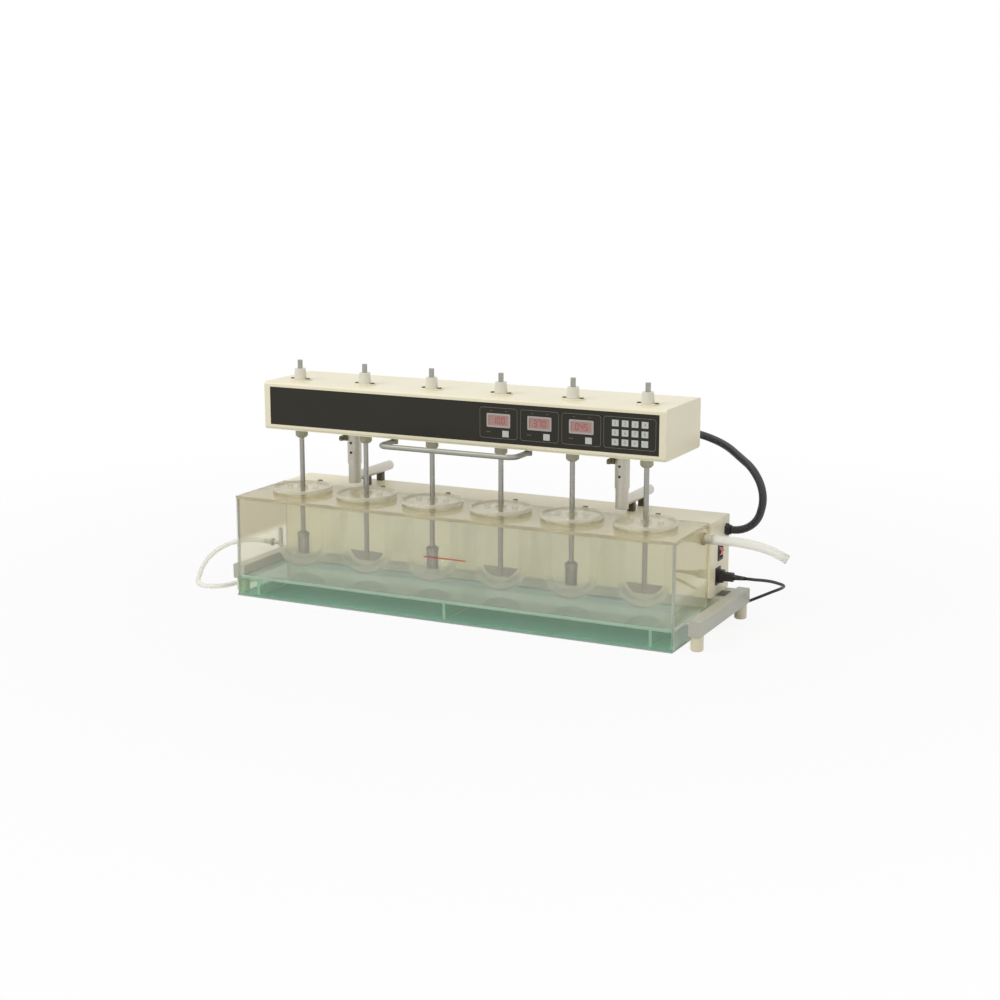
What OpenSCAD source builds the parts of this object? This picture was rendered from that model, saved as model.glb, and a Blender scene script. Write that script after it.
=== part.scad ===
// A bench dissolution tester: six round-bottomed glass vessels hang in a clear water bath,
// and a drive head on two columns turns a row of basket and paddle stirrers in them.
// X runs along the row of vessels, Y from the front to the back, Z up from the bench.

/* [Water bath] */
// Distance between neighbouring vessels
vessel_pitch = 150; // [144:1:156]
// Length of the tank
tank_len = 942; // [936:2:970]
// Depth of the tank from front to back
tank_depth = 182; // [174:1:190]
// Distance from the row of shafts to the front of the tank
tank_front = 101; // [94:1:106]
// Height of the bath with its cover plate
tank_height = 206; // [200:1:216]
// Thickness of the clear walls
tank_wall = 6; // [5:0.5:8]
// Gap between the vessels and the raised floor
vessel_clear = 8; // [5:0.5:14]
// Thickness of the bottom plate
bottom_thick = 4; // [3:0.5:6]
// How far the bottom plate stands out at the front
bottom_lip = 3; // [1:0.5:5]
// Thickness of the cover plate
cover_thick = 6; // [5:0.5:8]
// Distance from the middle of the tank to each outer web under the floor
web_x = 425; // [400:5:440]
// Outside diameter of the overflow spout
spout_d = 18; // [14:1:20]
// Outside diameter of the circulation spouts
inlet_d = 10; // [9:0.5:11]
// Length of every spout
spout_len = 20; // [16:1:24]

/* [Vessels] */
// Inside diameter of a vessel
vessel_bore = 102; // [98:0.5:104]
// Thickness of the glass
vessel_wall = 2.5; // [2:0.25:3]
// Height of a vessel with its rim
vessel_height = 160; // [152:1:162]
// Diameter of the rim that hangs on the cover plate
rim_d = 122; // [118:1:126]
// Thickness of the rim
rim_thick = 4; // [3:0.5:5]
// Diameter of a lid
lid_d = 120; // [114:1:126]
// Thickness of a lid
lid_thick = 4; // [3:0.5:6]
// Diameter of the stoppers in a lid's sampling ports
stopper_d = 12; // [9:0.5:14]

/* [Stirrers] */
// Diameter of a stirrer shaft
shaft_d = 10; // [9:0.25:11]
// Gap between a stirrer and the bottom of its vessel
stirrer_gap = 25; // [23:0.5:30]
// Radius of the arcs at the ends of a paddle blade
blade_arc = 41.5; // [40:0.25:43]
// Length of the upper edge of a paddle blade
blade_top = 74.5; // [72:0.5:76]
// Height of a paddle blade
blade_height = 19; // [17:0.5:21]
// Thickness of a paddle blade
blade_thick = 4; // [3:0.25:5]
// Outside diameter of a basket
basket_d = 22.2; // [20:0.2:25]
// Height of a basket
basket_height = 37; // [34:0.5:40]
// Thickness of the basket's wall
basket_wall = 0.8; // [0.6:0.1:1.2]
// Diameter of the hub that carries a basket
hub_d = 25.4; // [24:0.2:28]
// Height of that hub
hub_height = 9; // [7:0.5:12]
// How far a shaft stands out of its chuck
shaft_tip = 17; // [12:1:24]

/* [Drive head] */
// Length of the head
head_len = 860; // [850:2:880]
// Depth of the head from front to back
head_depth = 181; // [174:1:190]
// Distance from the row of shafts to the front of the head
head_front = 48.5; // [44:0.5:54]
// Height of the head
head_height = 95.5; // [90:0.5:104]
// Gap between the bath's cover and the head
head_gap = 133; // [126:1:142]
// Thickness of the head's sheet metal
head_sheet = 2; // [1.5:0.25:3]
// Rounding of the head's long edges
head_round = 6; // [3:0.5:9]
// Diameter of the bearing flanges on the head
flange_d = 46; // [40:1:50]
// Thickness of the bearing flanges
flange_thick = 2.5; // [2:0.25:4]
// Outside diameter of a hollow spindle
spindle_d = 18; // [16:0.5:20]
// Diameter of a chuck knob at its foot
knob_d = 25; // [22:0.5:28]
// Height of a chuck knob
knob_height = 21; // [17:0.5:26]
// Diameter of the collar under the head
collar_d = 25; // [22:0.5:28]
// Height of that collar
collar_height = 21; // [16:1:26]
// Diameter of the belt pulleys
pulley_d = 40; // [34:1:48]
// Height of the belt
belt_width = 10; // [8:0.5:14]
// Thickness of the belt
belt_thick = 2; // [1.5:0.25:3]
// Diameter of the motor
motor_d = 60; // [50:1:70]
// Height of the motor
motor_height = 34; // [28:1:36]

/* [Control panel] */
// Length of the panel
panel_len = 834; // [830:2:840]
// Height of the panel
panel_height = 76; // [72:0.5:80]
// How far the panel lies behind the front of the head
panel_recess = 1; // [0.5:0.25:1.5]
// Thickness of the panel's back flange
panel_thick = 2; // [1.5:0.25:3]
// Distance from the keypad to the first display
display_x = 267; // [262:1:272]
// Distance between displays
display_pitch = 85; // [80:1:88]
// Width of a display window
display_w = 48; // [42:1:52]
// Height of a display window
display_h = 25; // [20:1:28]
// Height of the displays above the middle of the panel
display_z = 5; // [3:0.5:8]
// Width of a key
key_w = 13; // [11:0.5:14]
// Height of a key
key_h = 12; // [10:0.5:13]
// Distance between the key columns
key_step_x = 19.4; // [18:0.2:20]
// Distance between the key rows
key_step_z = 17.6; // [16.5:0.2:18]
// Distance from the panel's right end to the middle of the keypad
keypad_x = 57; // [52:1:62]
// How far a key can be pressed
key_travel = 0.8; // [0.5:0.1:1]
// Distance from the front of the head to the circuit board
board_back = 9; // [8:0.25:12]

/* [Columns and handle] */
// Distance from the middle of the head to each column
column_x = 296; // [286:1:304]
// Distance from the row of shafts back to the columns
column_y = 75; // [70:1:82]
// Diameter of a guide rod
rod_d = 16; // [14:0.5:18]
// Outside diameter of a column sleeve
sleeve_d = 29; // [26:0.5:34]
// Diameter of a support arm
arm_d = 20; // [18:0.5:24]
// Height of the arm's axis above the higher of the bath and the cabinet
arm_rise = 24; // [22:0.5:28]
// Distance from the row of shafts to the rear end of the arms
arm_end = 222; // [212:1:230]
// Diameter of the boss at the front of an arm
boss_d = 26; // [24:0.5:30]
// Height of that boss above the arm's axis
boss_rise = 28; // [24:1:32]
// Width of a saddle block
saddle_w = 12.5; // [11:0.5:15]
// Diameter of the handle's rod
handle_d = 10.5; // [8:0.5:12]
// Length of the handle between its legs
handle_len = 290; // [280:2:300]
// How far the handle reaches in front of the head
handle_reach = 45; // [38:1:50]
// Distance from the head's underside to the handle's axis
handle_drop = 8; // [7:0.5:10]
// Diameter of the lock screws
lock_d = 6; // [5:0.5:8]
// Height of the lock screws below the head
lock_drop = 29; // [24:1:36]

/* [Cabinet and base] */
// Length of the cabinet
cabinet_len = 948; // [940:2:960]
// Depth of the cabinet
cabinet_depth = 108; // [100:1:116]
// Height of the cabinet
cabinet_height = 146; // [138:1:152]
// Thickness of the cabinet's sheet metal
cabinet_sheet = 2; // [1.5:0.25:3]
// Width of a base bar
bar_w = 25; // [22:0.5:30]
// Height of a base bar
bar_h = 29.5; // [26:0.5:32]
// How far the base bars reach in front of the row of shafts
bar_front = 80; // [74:1:88]
// How far the base bars reach behind the cabinet
bar_rear = 7; // [4:0.5:12]
// Gap between the tank and the left bar
bar_gap_left = 0.5; // [0.3:0.1:0.9]
// Gap between the tank and the right bar
bar_gap_right = 20.5; // [14:0.5:24]
// Diameter of a foot
foot_d = 24; // [20:0.5:25]
// Height of a foot
foot_height = 28.5; // [24:0.5:32]

/* [Cords and hoses] */
// Diameter of the flexible conduit
conduit_d = 15; // [12:0.5:16]
// Radius of the conduit's bends
conduit_bend = 60; // [56:1:61]
// Diameter of the mains lead
lead_d = 6; // [5:0.25:6.25]
// Radius of the coil's inner turn
coil_inner = 25; // [24:0.5:27]
// Distance between the coil's turns
coil_pitch = 6.7; // [6.65:0.05:7]
// Turns in each of the coil's two layers
coil_turns = 3; // [3:1:4]

/* [Hidden] */
$fn = 48;

// Clearances
run = 0.05;
gap = 0.3;
loose = 1;
cut = 1;

// The row of vessels
vessel_count = 6;
row_middle = (vessel_count + 1) / 2;
function station(n) = (n - row_middle) * vessel_pitch;

// Levels from the bench up
bar_bottom = foot_height;
bar_top = foot_height + bar_h;
cabinet_bottom = bar_top;
cabinet_top = cabinet_bottom + cabinet_height;
cover_bottom = tank_height - cover_thick;
rim_top = tank_height + rim_thick;
vessel_bottom = rim_top - vessel_height;
floor_top = vessel_bottom - vessel_clear;
plinth_height = floor_top - tank_wall;
stirrer_z = vessel_bottom + vessel_wall + stirrer_gap;
lid_top = rim_top + lid_thick;
head_bottom = tank_height + head_gap;
head_top = head_bottom + head_height;
plate_top = head_bottom + head_sheet;
flange_top = head_top + flange_thick;
knob_bottom = flange_top + gap;
knob_top = knob_bottom + knob_height;
shaft_top = knob_top + shaft_tip;
collar_top = head_bottom - gap;
collar_bottom = collar_top - collar_height;
arm_z = max(cabinet_top, tank_height) + arm_rise;
boss_top = arm_z + boss_rise;
lock_z = head_bottom - lock_drop;

// Front and rear planes
tank_front_y = -tank_front;
tank_back_y = tank_front_y + tank_depth;
cabinet_front_y = tank_back_y + gap;
cabinet_back_y = cabinet_front_y + cabinet_depth;
bar_front_y = -bar_front;
bar_back_y = cabinet_back_y + bar_rear;
head_front_y = -head_front;
head_back_y = head_front_y + head_depth;

// Sides
tank_right = tank_len / 2;
bar_left_x = -tank_right - bar_gap_left - bar_w / 2;
bar_right_x = tank_right + bar_gap_right + bar_w / 2;
cabinet_right = cabinet_len / 2;
head_right = head_len / 2;

// The origin lies under the middle of the whole footprint
shift = [
    -(bar_gap_right - bar_gap_left) / 2,
    -(arm_end - tank_front - bottom_lip) / 2,
    0
];

// Vessels and lids
vessel_r = vessel_bore / 2 + vessel_wall;
cover_hole_r = vessel_r + loose;
lid_hole_r = shaft_d / 2 + loose;
lid_hub_wall = 5;
lid_hub_r = lid_hole_r + lid_hub_wall;
lid_hub_height = 6;
lid_rib = 3;
stopper_x = 30;
stopper_height = 5;

// Hub and spring clips of a basket
hub_rim = 0.6;
hub_neck = 2;
clip_w = 3;
clip_thick = 0.8;
clip_drop = 8;

// Spouts on the tank, set out from its back, cover and floor
overflow_inset = 37;
overflow_drop = 17;
return_inset = 51;
return_rise = 42;
supply_inset = 15;
overflow_y = tank_back_y - overflow_inset;
overflow_z = cover_bottom - overflow_drop;
return_y = tank_back_y - return_inset;
return_z = floor_top + return_rise;
supply_y = tank_back_y - supply_inset;
supply_z = bottom_thick + inlet_d / 2;
elbow_reach = 13;
elbow_len = 16;
spout_bore = 0.6;
spout_collar = 3;
spout_collar_len = 5;

// Spindles, pulleys and belt
spindle_r = spindle_d / 2;
bore_r = shaft_d / 2 + run;
pulley_r = pulley_d / 2;
pulley_rim = 2;
pulley_height = belt_width + 2 * (pulley_rim + gap);
pulley_rise = 46;
pulley_z = head_bottom + pulley_rise;
belt_r = pulley_r + gap;
knob_taper = 1.5;
collar_chamfer = 4;
bearing_height = 14;
bearing_wall = 6;
bearing_r = spindle_r + bearing_wall;
motor_shaft_d = 10;

// Control panel
panel_z = head_bottom + head_height / 2;
panel_face_y = head_front_y + panel_recess;
panel_back_y = head_front_y + head_sheet + panel_thick;
panel_flange = 4;
key_clear = 0.2;
key_flange = 1;
key_flange_thick = 1;
key_back_y = panel_back_y + key_clear;
board_y = head_front_y + board_back;
board_thick = 1.6;
display_count = 3;
display_key_dx = 15;
display_key_dz = -19.5;
key_columns = 4;
key_rows = 3;
post_d = 5;
board_edge = 10;
board_inset = 8;
keypad_middle = panel_len / 2 - keypad_x;
display_first = keypad_middle - display_x;
board_left = display_first - display_w / 2 - board_edge;
board_right = keypad_middle + (key_columns - 1) / 2 * key_step_x + key_w / 2 + board_edge;
board_half = panel_height / 2 - board_inset;

// Supports
rod_clear = 4;
rod_top = head_top - head_sheet - rod_clear;
rod_hole_r = rod_d / 2 + loose;
sleeve_bore_r = rod_d / 2 + run;
sleeve_bottom = boss_top + gap;
sleeve_flange = 7;
sleeve_flange_d = sleeve_d + 2 * sleeve_flange;
sleeve_flange_thick = 4;
boss_below = 12;
saddle_first = 50;
saddle_step = 55;
saddle_ys = [column_y + saddle_first, column_y + saddle_first + saddle_step];
saddle_seat = 0.1;
lock_hub_d = 14;
lock_hub_len = 10;
lock_wing_len = 40;
lock_wing_h = 10;
lock_wing_t = 5;
lock_wing_r = 4.9;

// Handle
handle_bend = 18;
handle_z = head_bottom - handle_drop;
handle_front_y = head_front_y - handle_reach + handle_d / 2;
handle_post_inset = 24;
handle_post_y = head_front_y + handle_post_inset;
handle_post_d = 14;
handle_steps = 6;
handle_sides = 16;

// Feet and cross bars
foot_front = 15;
foot_back = 16;
cross_inset = 20;
foot_ys = [bar_front_y + foot_front, bar_back_y - foot_back];
cross_ys = [cabinet_front_y + cross_inset, cabinet_back_y - cross_inset];

// Fittings on the cabinet's right face
switch_inset = 51.3;
switch_drop = 65;
switch_y = cabinet_back_y - switch_inset;
switch_z = cabinet_top - switch_drop;
switch_w = 21;
switch_h = 28;
bezel_edge = 2.5;
bezel_depth = 20;
bezel_lip = 2;
rocker_clear = 0.6;
rocker_tilt = 7;
rocker_ridge = 6.7;
rocker_edge = -1;
inlet_inset = 63.3;
inlet_rise = 36;
inlet_y = cabinet_back_y - inlet_inset;
inlet_z = cabinet_bottom + inlet_rise;
inlet_w = 20;
inlet_h = 27;
inlet_edge = 3;
inlet_depth = 18;
socket_w = 16;
socket_h = 24;
gland_nut = 10;
gland_across = 24;
gland_hex = 6;
gland_wall = 2;
gland_thread = 4;
cabinet_gland_inset = 19.3;
cabinet_gland_drop = 28;
cabinet_gland = [cabinet_back_y - cabinet_gland_inset, cabinet_top - cabinet_gland_drop];
head_gland_inset = 56;
head_gland_rise = 22;
head_gland_place = [head_right - head_gland_inset, head_bottom + head_gland_rise];

// Plugs on the mains lead
grip_from = 13;
grip_h = 17;
grip_w = 14;
grip_round = 4;
boot_len = 24;
boot_d = 11;
plug_len = 44;
plug_w = 34;
plug_h = 20;
plug_round = 5;
plug_body = 0.7;
plug_shoulder = 2;
plug_tip = 2;
boot_tip = 1;
plug_fit = 0.5;
pin_y = 7;
pin_w = 1.6;
pin_h = 6.4;
plug_pin_len = 17;

// The conduit leaves both glands straight and turns in wide arcs between
head_end = [head_gland_place[0], head_back_y + gland_nut, head_gland_place[1]];
cabinet_end = [cabinet_right + gland_nut, cabinet_gland[0], cabinet_gland[1]];
conduit_corners = [
    head_end,
    head_end + [0, 97.5, 0],
    head_end + [93, 54.5, -31],
    head_end + [151, 20.5, -60],
    cabinet_end + [73, -19, 82],
    cabinet_end + [48, 0, 0],
    cabinet_end
];
conduit_bends = [conduit_bend, conduit_bend + 114, conduit_bend + 6, conduit_bend, conduit_bend];

// Hand-chosen points of the other cords and hoses, from the row of shafts and the bench
overflow_points = [
    [491, 44, 183], [512, 44, 183], [540, 52, 181], [572, 64, 174], [602, 74, 163], [625, 80, 151]
];
circulation_points = [
    [-491, 30, 84], [-512, 30, 84], [-546, 24, 80], [-580, 12, 68], [-604, -4, 49], [-614, -22, 27],
    [-610, -42, 11], [-600, -60, 6], [-584, -80, 6], [-560, -89, 6], [-536, -80, 6], [-522, -58, 6],
    [-515, -32, 6], [-506, -4, 6], [-493, 18, 8], [-485, 35, 9], [-484, 44, 9], [-484, 50, 9]
];
lead_points = [
    [530, 126, 94], [546, 126, 94], [562, 128, 94], [578, 134, 92], [590, 144, 87], [595, 157, 81],
    [591, 171, 74], [580, 183, 66], [564, 192, 57], [546, 199, 47], [526, 206, 36], [506, 213, 25],
    [484, 219, 14], [462, 224, 6], [440, 228, 3.4], [424, 229, 3.4], [410, 229, 3.4]
];
coil_start = [410, 229, 3.4];
coil_run = 10;
coil_tail = 24;
rings_per_loop = 24;

module placed() {
    translate(shift) children();
}

module box(low, high) {
    translate(low) cube(high - low);
}

module rounded_rect(w, h, r) {
    for (x = [-1, 1], y = [-1, 1]) {
        translate([x * (w / 2 - r), y * (h / 2 - r)]) circle(r);
    }
    square([w - 2 * r, h], center = true);
    square([w, h - 2 * r], center = true);
}

// A bar of rounded section along Y
module bar_y(x, y0, y1, z0, z1, w, r) {
    translate([x, y1, (z0 + z1) / 2]) rotate([90, 0, 0])
        linear_extrude(y1 - y0) rounded_rect(w, z1 - z0, r);
}

module rod_x(x0, x1, y, z, d) {
    translate([x0, y, z]) rotate([0, 90, 0]) cylinder(d = d, h = x1 - x0);
}

// Base

module base_frame() placed() color("#96988f") {
    edge = 2;
    for (x = [bar_left_x, bar_right_x]) {
        bar_y(x, bar_front_y, bar_back_y, bar_bottom, bar_top, bar_w, edge);
    }
    for (y = cross_ys) {
        box([bar_left_x, y - bar_w / 2, bar_bottom], [bar_right_x, y + bar_w / 2, bar_top]);
    }
}

module feet() placed() color("#e8e0c8") {
    toe = 2;
    for (x = [bar_left_x, bar_right_x], y = foot_ys) {
        translate([x, y, 0]) rotate_extrude() polygon([
            [0, 0], [foot_d / 2 - toe, 0], [foot_d / 2, toe],
            [foot_d / 2, foot_height], [0, foot_height]
        ]);
    }
}

// Water bath

module spout(place, turn, d) {
    translate(place) rotate([0, turn, 0]) {
        cylinder(d = d, h = spout_len);
        cylinder(d = d + 2 * spout_collar, h = spout_collar_len);
    }
}

module spout_hole(place, turn, d) {
    translate(place) rotate([0, turn, 0]) translate([0, 0, -tank_wall - cut])
        cylinder(d = d * spout_bore, h = tank_wall + spout_len + 2 * cut);
}

module tank_spouts(holes) {
    places = [
        [[tank_right, overflow_y, overflow_z], 90, spout_d],
        [[-tank_right, return_y, return_z], -90, inlet_d]
    ];
    for (p = places) {
        if (holes) spout_hole(p[0], p[1], p[2]);
        else spout(p[0], p[1], p[2]);
    }
}

// The supply enters the plinth through an elbow that looks to the front
module supply_elbow(d, inside, past) {
    translate([-tank_right - elbow_reach, supply_y, supply_z]) {
        rotate([0, 90, 0]) cylinder(d = d, h = elbow_reach + inside);
        sphere(d = d);
        rotate([90, 0, 0]) cylinder(d = d, h = elbow_len + past);
    }
}

module plinth_cells() {
    inner = tank_right - tank_wall;
    edges = [-inner, -web_x, 0, web_x, inner];
    for (i = [0 : len(edges) - 2]) {
        left = edges[i] + (i == 0 ? 0 : tank_wall / 2);
        right = edges[i + 1] - (i == len(edges) - 2 ? 0 : tank_wall / 2);
        box([left, tank_front_y + tank_wall, bottom_thick], [right, tank_back_y + cut, plinth_height]);
    }
}

module water_tank() placed() color("#b8c8b4", 0.6) {
    inner = tank_right - tank_wall;
    difference() {
        union() {
            box([-tank_right, tank_front_y, 0], [tank_right, tank_back_y, cover_bottom]);
            box([-tank_right, tank_front_y - bottom_lip, 0], [tank_right, tank_back_y, bottom_thick]);
            tank_spouts(false);
            supply_elbow(inlet_d, 0, 0);
        }
        box(
            [-inner, tank_front_y + tank_wall, floor_top],
            [inner, tank_back_y - tank_wall, cover_bottom + cut]
        );
        plinth_cells();
        tank_spouts(true);
        supply_elbow(inlet_d * spout_bore, tank_wall + cut, cut);
    }
}

module cover_plate() placed() color("#dfe0d2", 0.6) {
    difference() {
        box([-tank_right, tank_front_y, cover_bottom], [tank_right, tank_back_y, tank_height]);
        for (n = [1 : vessel_count]) {
            translate([station(n), 0, cover_bottom - cut])
                cylinder(r = cover_hole_r, h = cover_thick + 2 * cut, $fn = 96);
        }
    }
}

module vessel_form(r, bottom, top) {
    translate([0, 0, bottom + r]) {
        sphere(r, $fn = 72);
        cylinder(r = r, h = top - bottom - r, $fn = 72);
    }
}

module vessel(n) {
    translate([station(n), 0, 0]) difference() {
        union() {
            vessel_form(vessel_r, vessel_bottom, rim_top);
            translate([0, 0, tank_height]) cylinder(d = rim_d, h = rim_thick, $fn = 72);
        }
        vessel_form(vessel_bore / 2, vessel_bottom + vessel_wall, rim_top + cut);
    }
}

module vessels_left() placed() color("#d8e4dc", 0.4) {
    for (n = [1 : 3]) vessel(n);
}

module vessels_right() placed() color("#d8e4dc", 0.4) {
    for (n = [4 : 6]) vessel(n);
}

module lid(n) placed() color("#e6ece2", 0.5) {
    translate([station(n), 0, 0]) difference() {
        union() {
            translate([0, 0, rim_top]) cylinder(d = lid_d, h = lid_thick, $fn = 72);
            translate([0, 0, lid_top]) cylinder(r = lid_hub_r, h = lid_hub_height);
            for (x = [-stopper_x, stopper_x]) {
                translate([x, 0, lid_top]) cylinder(d = stopper_d, h = stopper_height);
            }
            translate([0, 0, lid_top]) difference() {
                cylinder(d = lid_d, h = lid_rib, $fn = 72);
                translate([0, 0, -cut]) cylinder(d = lid_d - 2 * lid_rib, h = lid_rib + 2 * cut, $fn = 72);
            }
        }
        translate([0, 0, rim_top - cut])
            cylinder(r = lid_hole_r, h = lid_thick + lid_hub_height + 2 * cut);
    }
}

// Stirrers

module paddle_blade() {
    upper = sqrt(pow(blade_arc, 2) - pow(blade_top / 2, 2));
    translate([0, blade_thick / 2, stirrer_z + blade_height + upper]) rotate([90, 0, 0])
        linear_extrude(blade_thick) intersection() {
            circle(blade_arc, $fn = 96);
            translate([-blade_arc, -upper - blade_height]) square([2 * blade_arc, blade_height]);
        }
}

module basket() {
    slots = 6;
    slot_w = 3;
    ring = 4;
    clips = 3;
    vent_x = 8;
    vent_d = 2;
    translate([0, 0, stirrer_z]) difference() {
        cylinder(d = basket_d, h = basket_height);
        translate([0, 0, basket_wall]) cylinder(d = basket_d - 2 * basket_wall, h = basket_height);
        for (i = [0 : slots - 1]) {
            rotate(i * 180 / slots) translate([-basket_d, -slot_w / 2, ring])
                cube([2 * basket_d, slot_w, basket_height - 2 * ring]);
        }
    }
    translate([0, 0, stirrer_z + basket_height]) {
        difference() {
            rotate_extrude() polygon([
                [0, 0], [hub_d / 2, 0], [hub_d / 2, hub_height * hub_rim],
                [shaft_d / 2 + hub_neck, hub_height], [0, hub_height]
            ]);
            translate([vent_x, 0, -cut]) cylinder(d = vent_d, h = hub_height + 2 * cut);
        }
        for (i = [0 : clips - 1]) {
            rotate(i * 360 / clips) translate([basket_d / 2 + gap, -clip_w / 2, -clip_drop])
                cube([clip_thick, clip_w, clip_drop + hub_height * hub_rim]);
        }
    }
}

module shaft(n) placed() color("#a8a8a2") {
    basket_here = n % 2 == 1;
    foot = basket_here ? stirrer_z + basket_height : stirrer_z;
    translate([station(n), 0, 0]) {
        translate([0, 0, foot]) cylinder(d = shaft_d, h = shaft_top - foot);
        if (basket_here) basket();
        else paddle_blade();
    }
}

module spindle(n) placed() color("#e9e7df") {
    pulley_top = pulley_z + pulley_height;
    translate([station(n), 0, 0]) rotate_extrude() polygon([
        [bore_r, collar_bottom],
        [collar_d / 2 - collar_chamfer, collar_bottom],
        [collar_d / 2, collar_bottom + collar_chamfer],
        [collar_d / 2, collar_top],
        [spindle_r, collar_top],
        [spindle_r, pulley_z],
        [pulley_r + pulley_rim, pulley_z],
        [pulley_r + pulley_rim, pulley_z + pulley_rim],
        [pulley_r, pulley_z + pulley_rim],
        [pulley_r, pulley_top - pulley_rim],
        [pulley_r + pulley_rim, pulley_top - pulley_rim],
        [pulley_r + pulley_rim, pulley_top],
        [spindle_r, pulley_top],
        [spindle_r, knob_bottom],
        [knob_d / 2, knob_bottom],
        [knob_d / 2 - knob_taper, knob_top],
        [bore_r, knob_top]
    ]);
}

// Drive head

module head_section(inset) {
    rounded_rect(head_depth - 2 * inset, head_height - 2 * inset, head_round - inset);
}

module head_block(inset) {
    translate([-head_right + inset, (head_front_y + head_back_y) / 2, panel_z])
        rotate([90, 0, 90]) linear_extrude(head_len - 2 * inset) head_section(inset);
}

module head_casing() placed() color("#efe7d4") {
    inner_y0 = head_front_y + head_sheet;
    inner_y1 = head_back_y - head_sheet;
    difference() {
        union() {
            head_block(0);
            for (n = [1 : vessel_count]) {
                translate([station(n), 0, head_top - head_sheet])
                    cylinder(d = flange_d, h = head_sheet + flange_thick);
            }
        }
        head_block(head_sheet);
        box(
            [-head_right + head_sheet, inner_y0, head_bottom - cut],
            [head_right - head_sheet, inner_y1, panel_z]
        );
        box(
            [-panel_len / 2, head_front_y - cut, panel_z - panel_height / 2],
            [panel_len / 2, inner_y0 + cut, panel_z + panel_height / 2]
        );
        for (n = [1 : vessel_count]) {
            translate([station(n), 0, head_top - 2 * head_sheet])
                cylinder(r = spindle_r + run, h = 2 * head_sheet + flange_thick + cut);
        }
        translate([head_gland_place[0], head_back_y - head_sheet - cut, head_gland_place[1]])
            rotate([-90, 0, 0]) cylinder(d = conduit_d, h = head_sheet + 2 * cut);
    }
}

module head_base_plate() placed() color("#e2dac4") {
    difference() {
        union() {
            box(
                [-head_right + head_sheet, head_front_y + head_sheet, head_bottom],
                [head_right - head_sheet, head_back_y - head_sheet, plate_top]
            );
            for (n = [1 : vessel_count]) {
                translate([station(n), 0, head_bottom]) cylinder(r = bearing_r, h = bearing_height);
            }
        }
        for (n = [1 : vessel_count]) {
            translate([station(n), 0, head_bottom - cut])
                cylinder(r = spindle_r + run, h = bearing_height + 2 * cut);
        }
        for (x = [-column_x, column_x]) {
            translate([x, column_y, head_bottom - cut])
                cylinder(r = rod_hole_r, h = head_sheet + 2 * cut);
        }
    }
}

module drive_unit() placed() color("#3c3c3c") {
    end_x = station(vessel_count);
    translate([0, 0, plate_top]) cylinder(d = motor_d, h = motor_height);
    translate([0, 0, plate_top]) cylinder(d = motor_shaft_d, h = pulley_z + pulley_height - plate_top);
    translate([0, 0, pulley_z]) cylinder(r = pulley_r, h = pulley_height);
    translate([0, 0, pulley_z + (pulley_height - belt_width) / 2]) linear_extrude(belt_width)
        difference() {
            belt_outline(end_x, belt_r + belt_thick);
            belt_outline(end_x, belt_r);
        }
}

module belt_outline(end_x, r) {
    for (x = [-end_x, end_x]) translate([x, 0]) circle(r);
    square([2 * end_x, 2 * r], center = true);
}

// Control panel

function display_place(i) = [display_first + i * display_pitch, panel_z + display_z];
function display_key_place(i) = [
    display_first + i * display_pitch + display_key_dx,
    panel_z + display_key_dz
];
function key_place(row, column) = [
    keypad_middle + (column - (key_columns + 1) / 2) * key_step_x,
    panel_z + ((key_rows + 1) / 2 - row) * key_step_z
];
key_places = [
    for (i = [0 : display_count - 1]) display_key_place(i),
    for (row = [1 : key_rows], column = [1 : key_columns]) key_place(row, column)
];
post_places = [
    for (x = [board_left + post_d, board_right - post_d], z = [-1, 1])
        [x, panel_z + z * (board_half - post_d)]
];

module upright_box(place, w, h, y0, y1) {
    box([place[0] - w / 2, y0, place[1] - h / 2], [place[0] + w / 2, y1, place[1] + h / 2]);
}

module front_panel() placed() color("#34322c") {
    middle = [0, panel_z];
    difference() {
        union() {
            upright_box(middle, panel_len, panel_height, panel_face_y, panel_back_y);
            upright_box(
                middle, panel_len + 2 * panel_flange, panel_height + 2 * panel_flange,
                head_front_y + head_sheet, panel_back_y
            );
            for (p = post_places) {
                translate([p[0], board_y, p[1]]) rotate([90, 0, 0])
                    cylinder(d = post_d, h = board_y - head_front_y - head_sheet);
            }
        }
        for (i = [0 : display_count - 1]) {
            upright_box(display_place(i), display_w, display_h, panel_face_y - cut, panel_back_y + cut);
        }
        for (p = key_places) {
            upright_box(
                p, key_w + 2 * key_clear, key_h + 2 * key_clear,
                panel_face_y - cut, panel_back_y + cut
            );
        }
    }
}

module display_board() placed() color("#5a2320") {
    inset = 0.4;
    box(
        [board_left, board_y, panel_z - board_half],
        [board_right, board_y + board_thick, panel_z + board_half]
    );
    for (i = [0 : display_count - 1]) {
        upright_box(
            display_place(i), display_w - 2 * key_clear, display_h - 2 * key_clear,
            panel_face_y + inset, board_y + board_thick
        );
    }
}

module key(place) placed() color("#c8ccc3") {
    stem_d = 4;
    stem_end = board_y - key_travel - key_clear;
    upright_box(place, key_w, key_h, head_front_y, key_back_y + key_flange_thick);
    upright_box(
        place, key_w + 2 * key_flange, key_h + 2 * key_flange,
        key_back_y, key_back_y + key_flange_thick
    );
    translate([place[0], stem_end, place[1]]) rotate([90, 0, 0])
        cylinder(d = stem_d, h = stem_end - key_back_y);
}

// Columns, arms and handle

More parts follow.
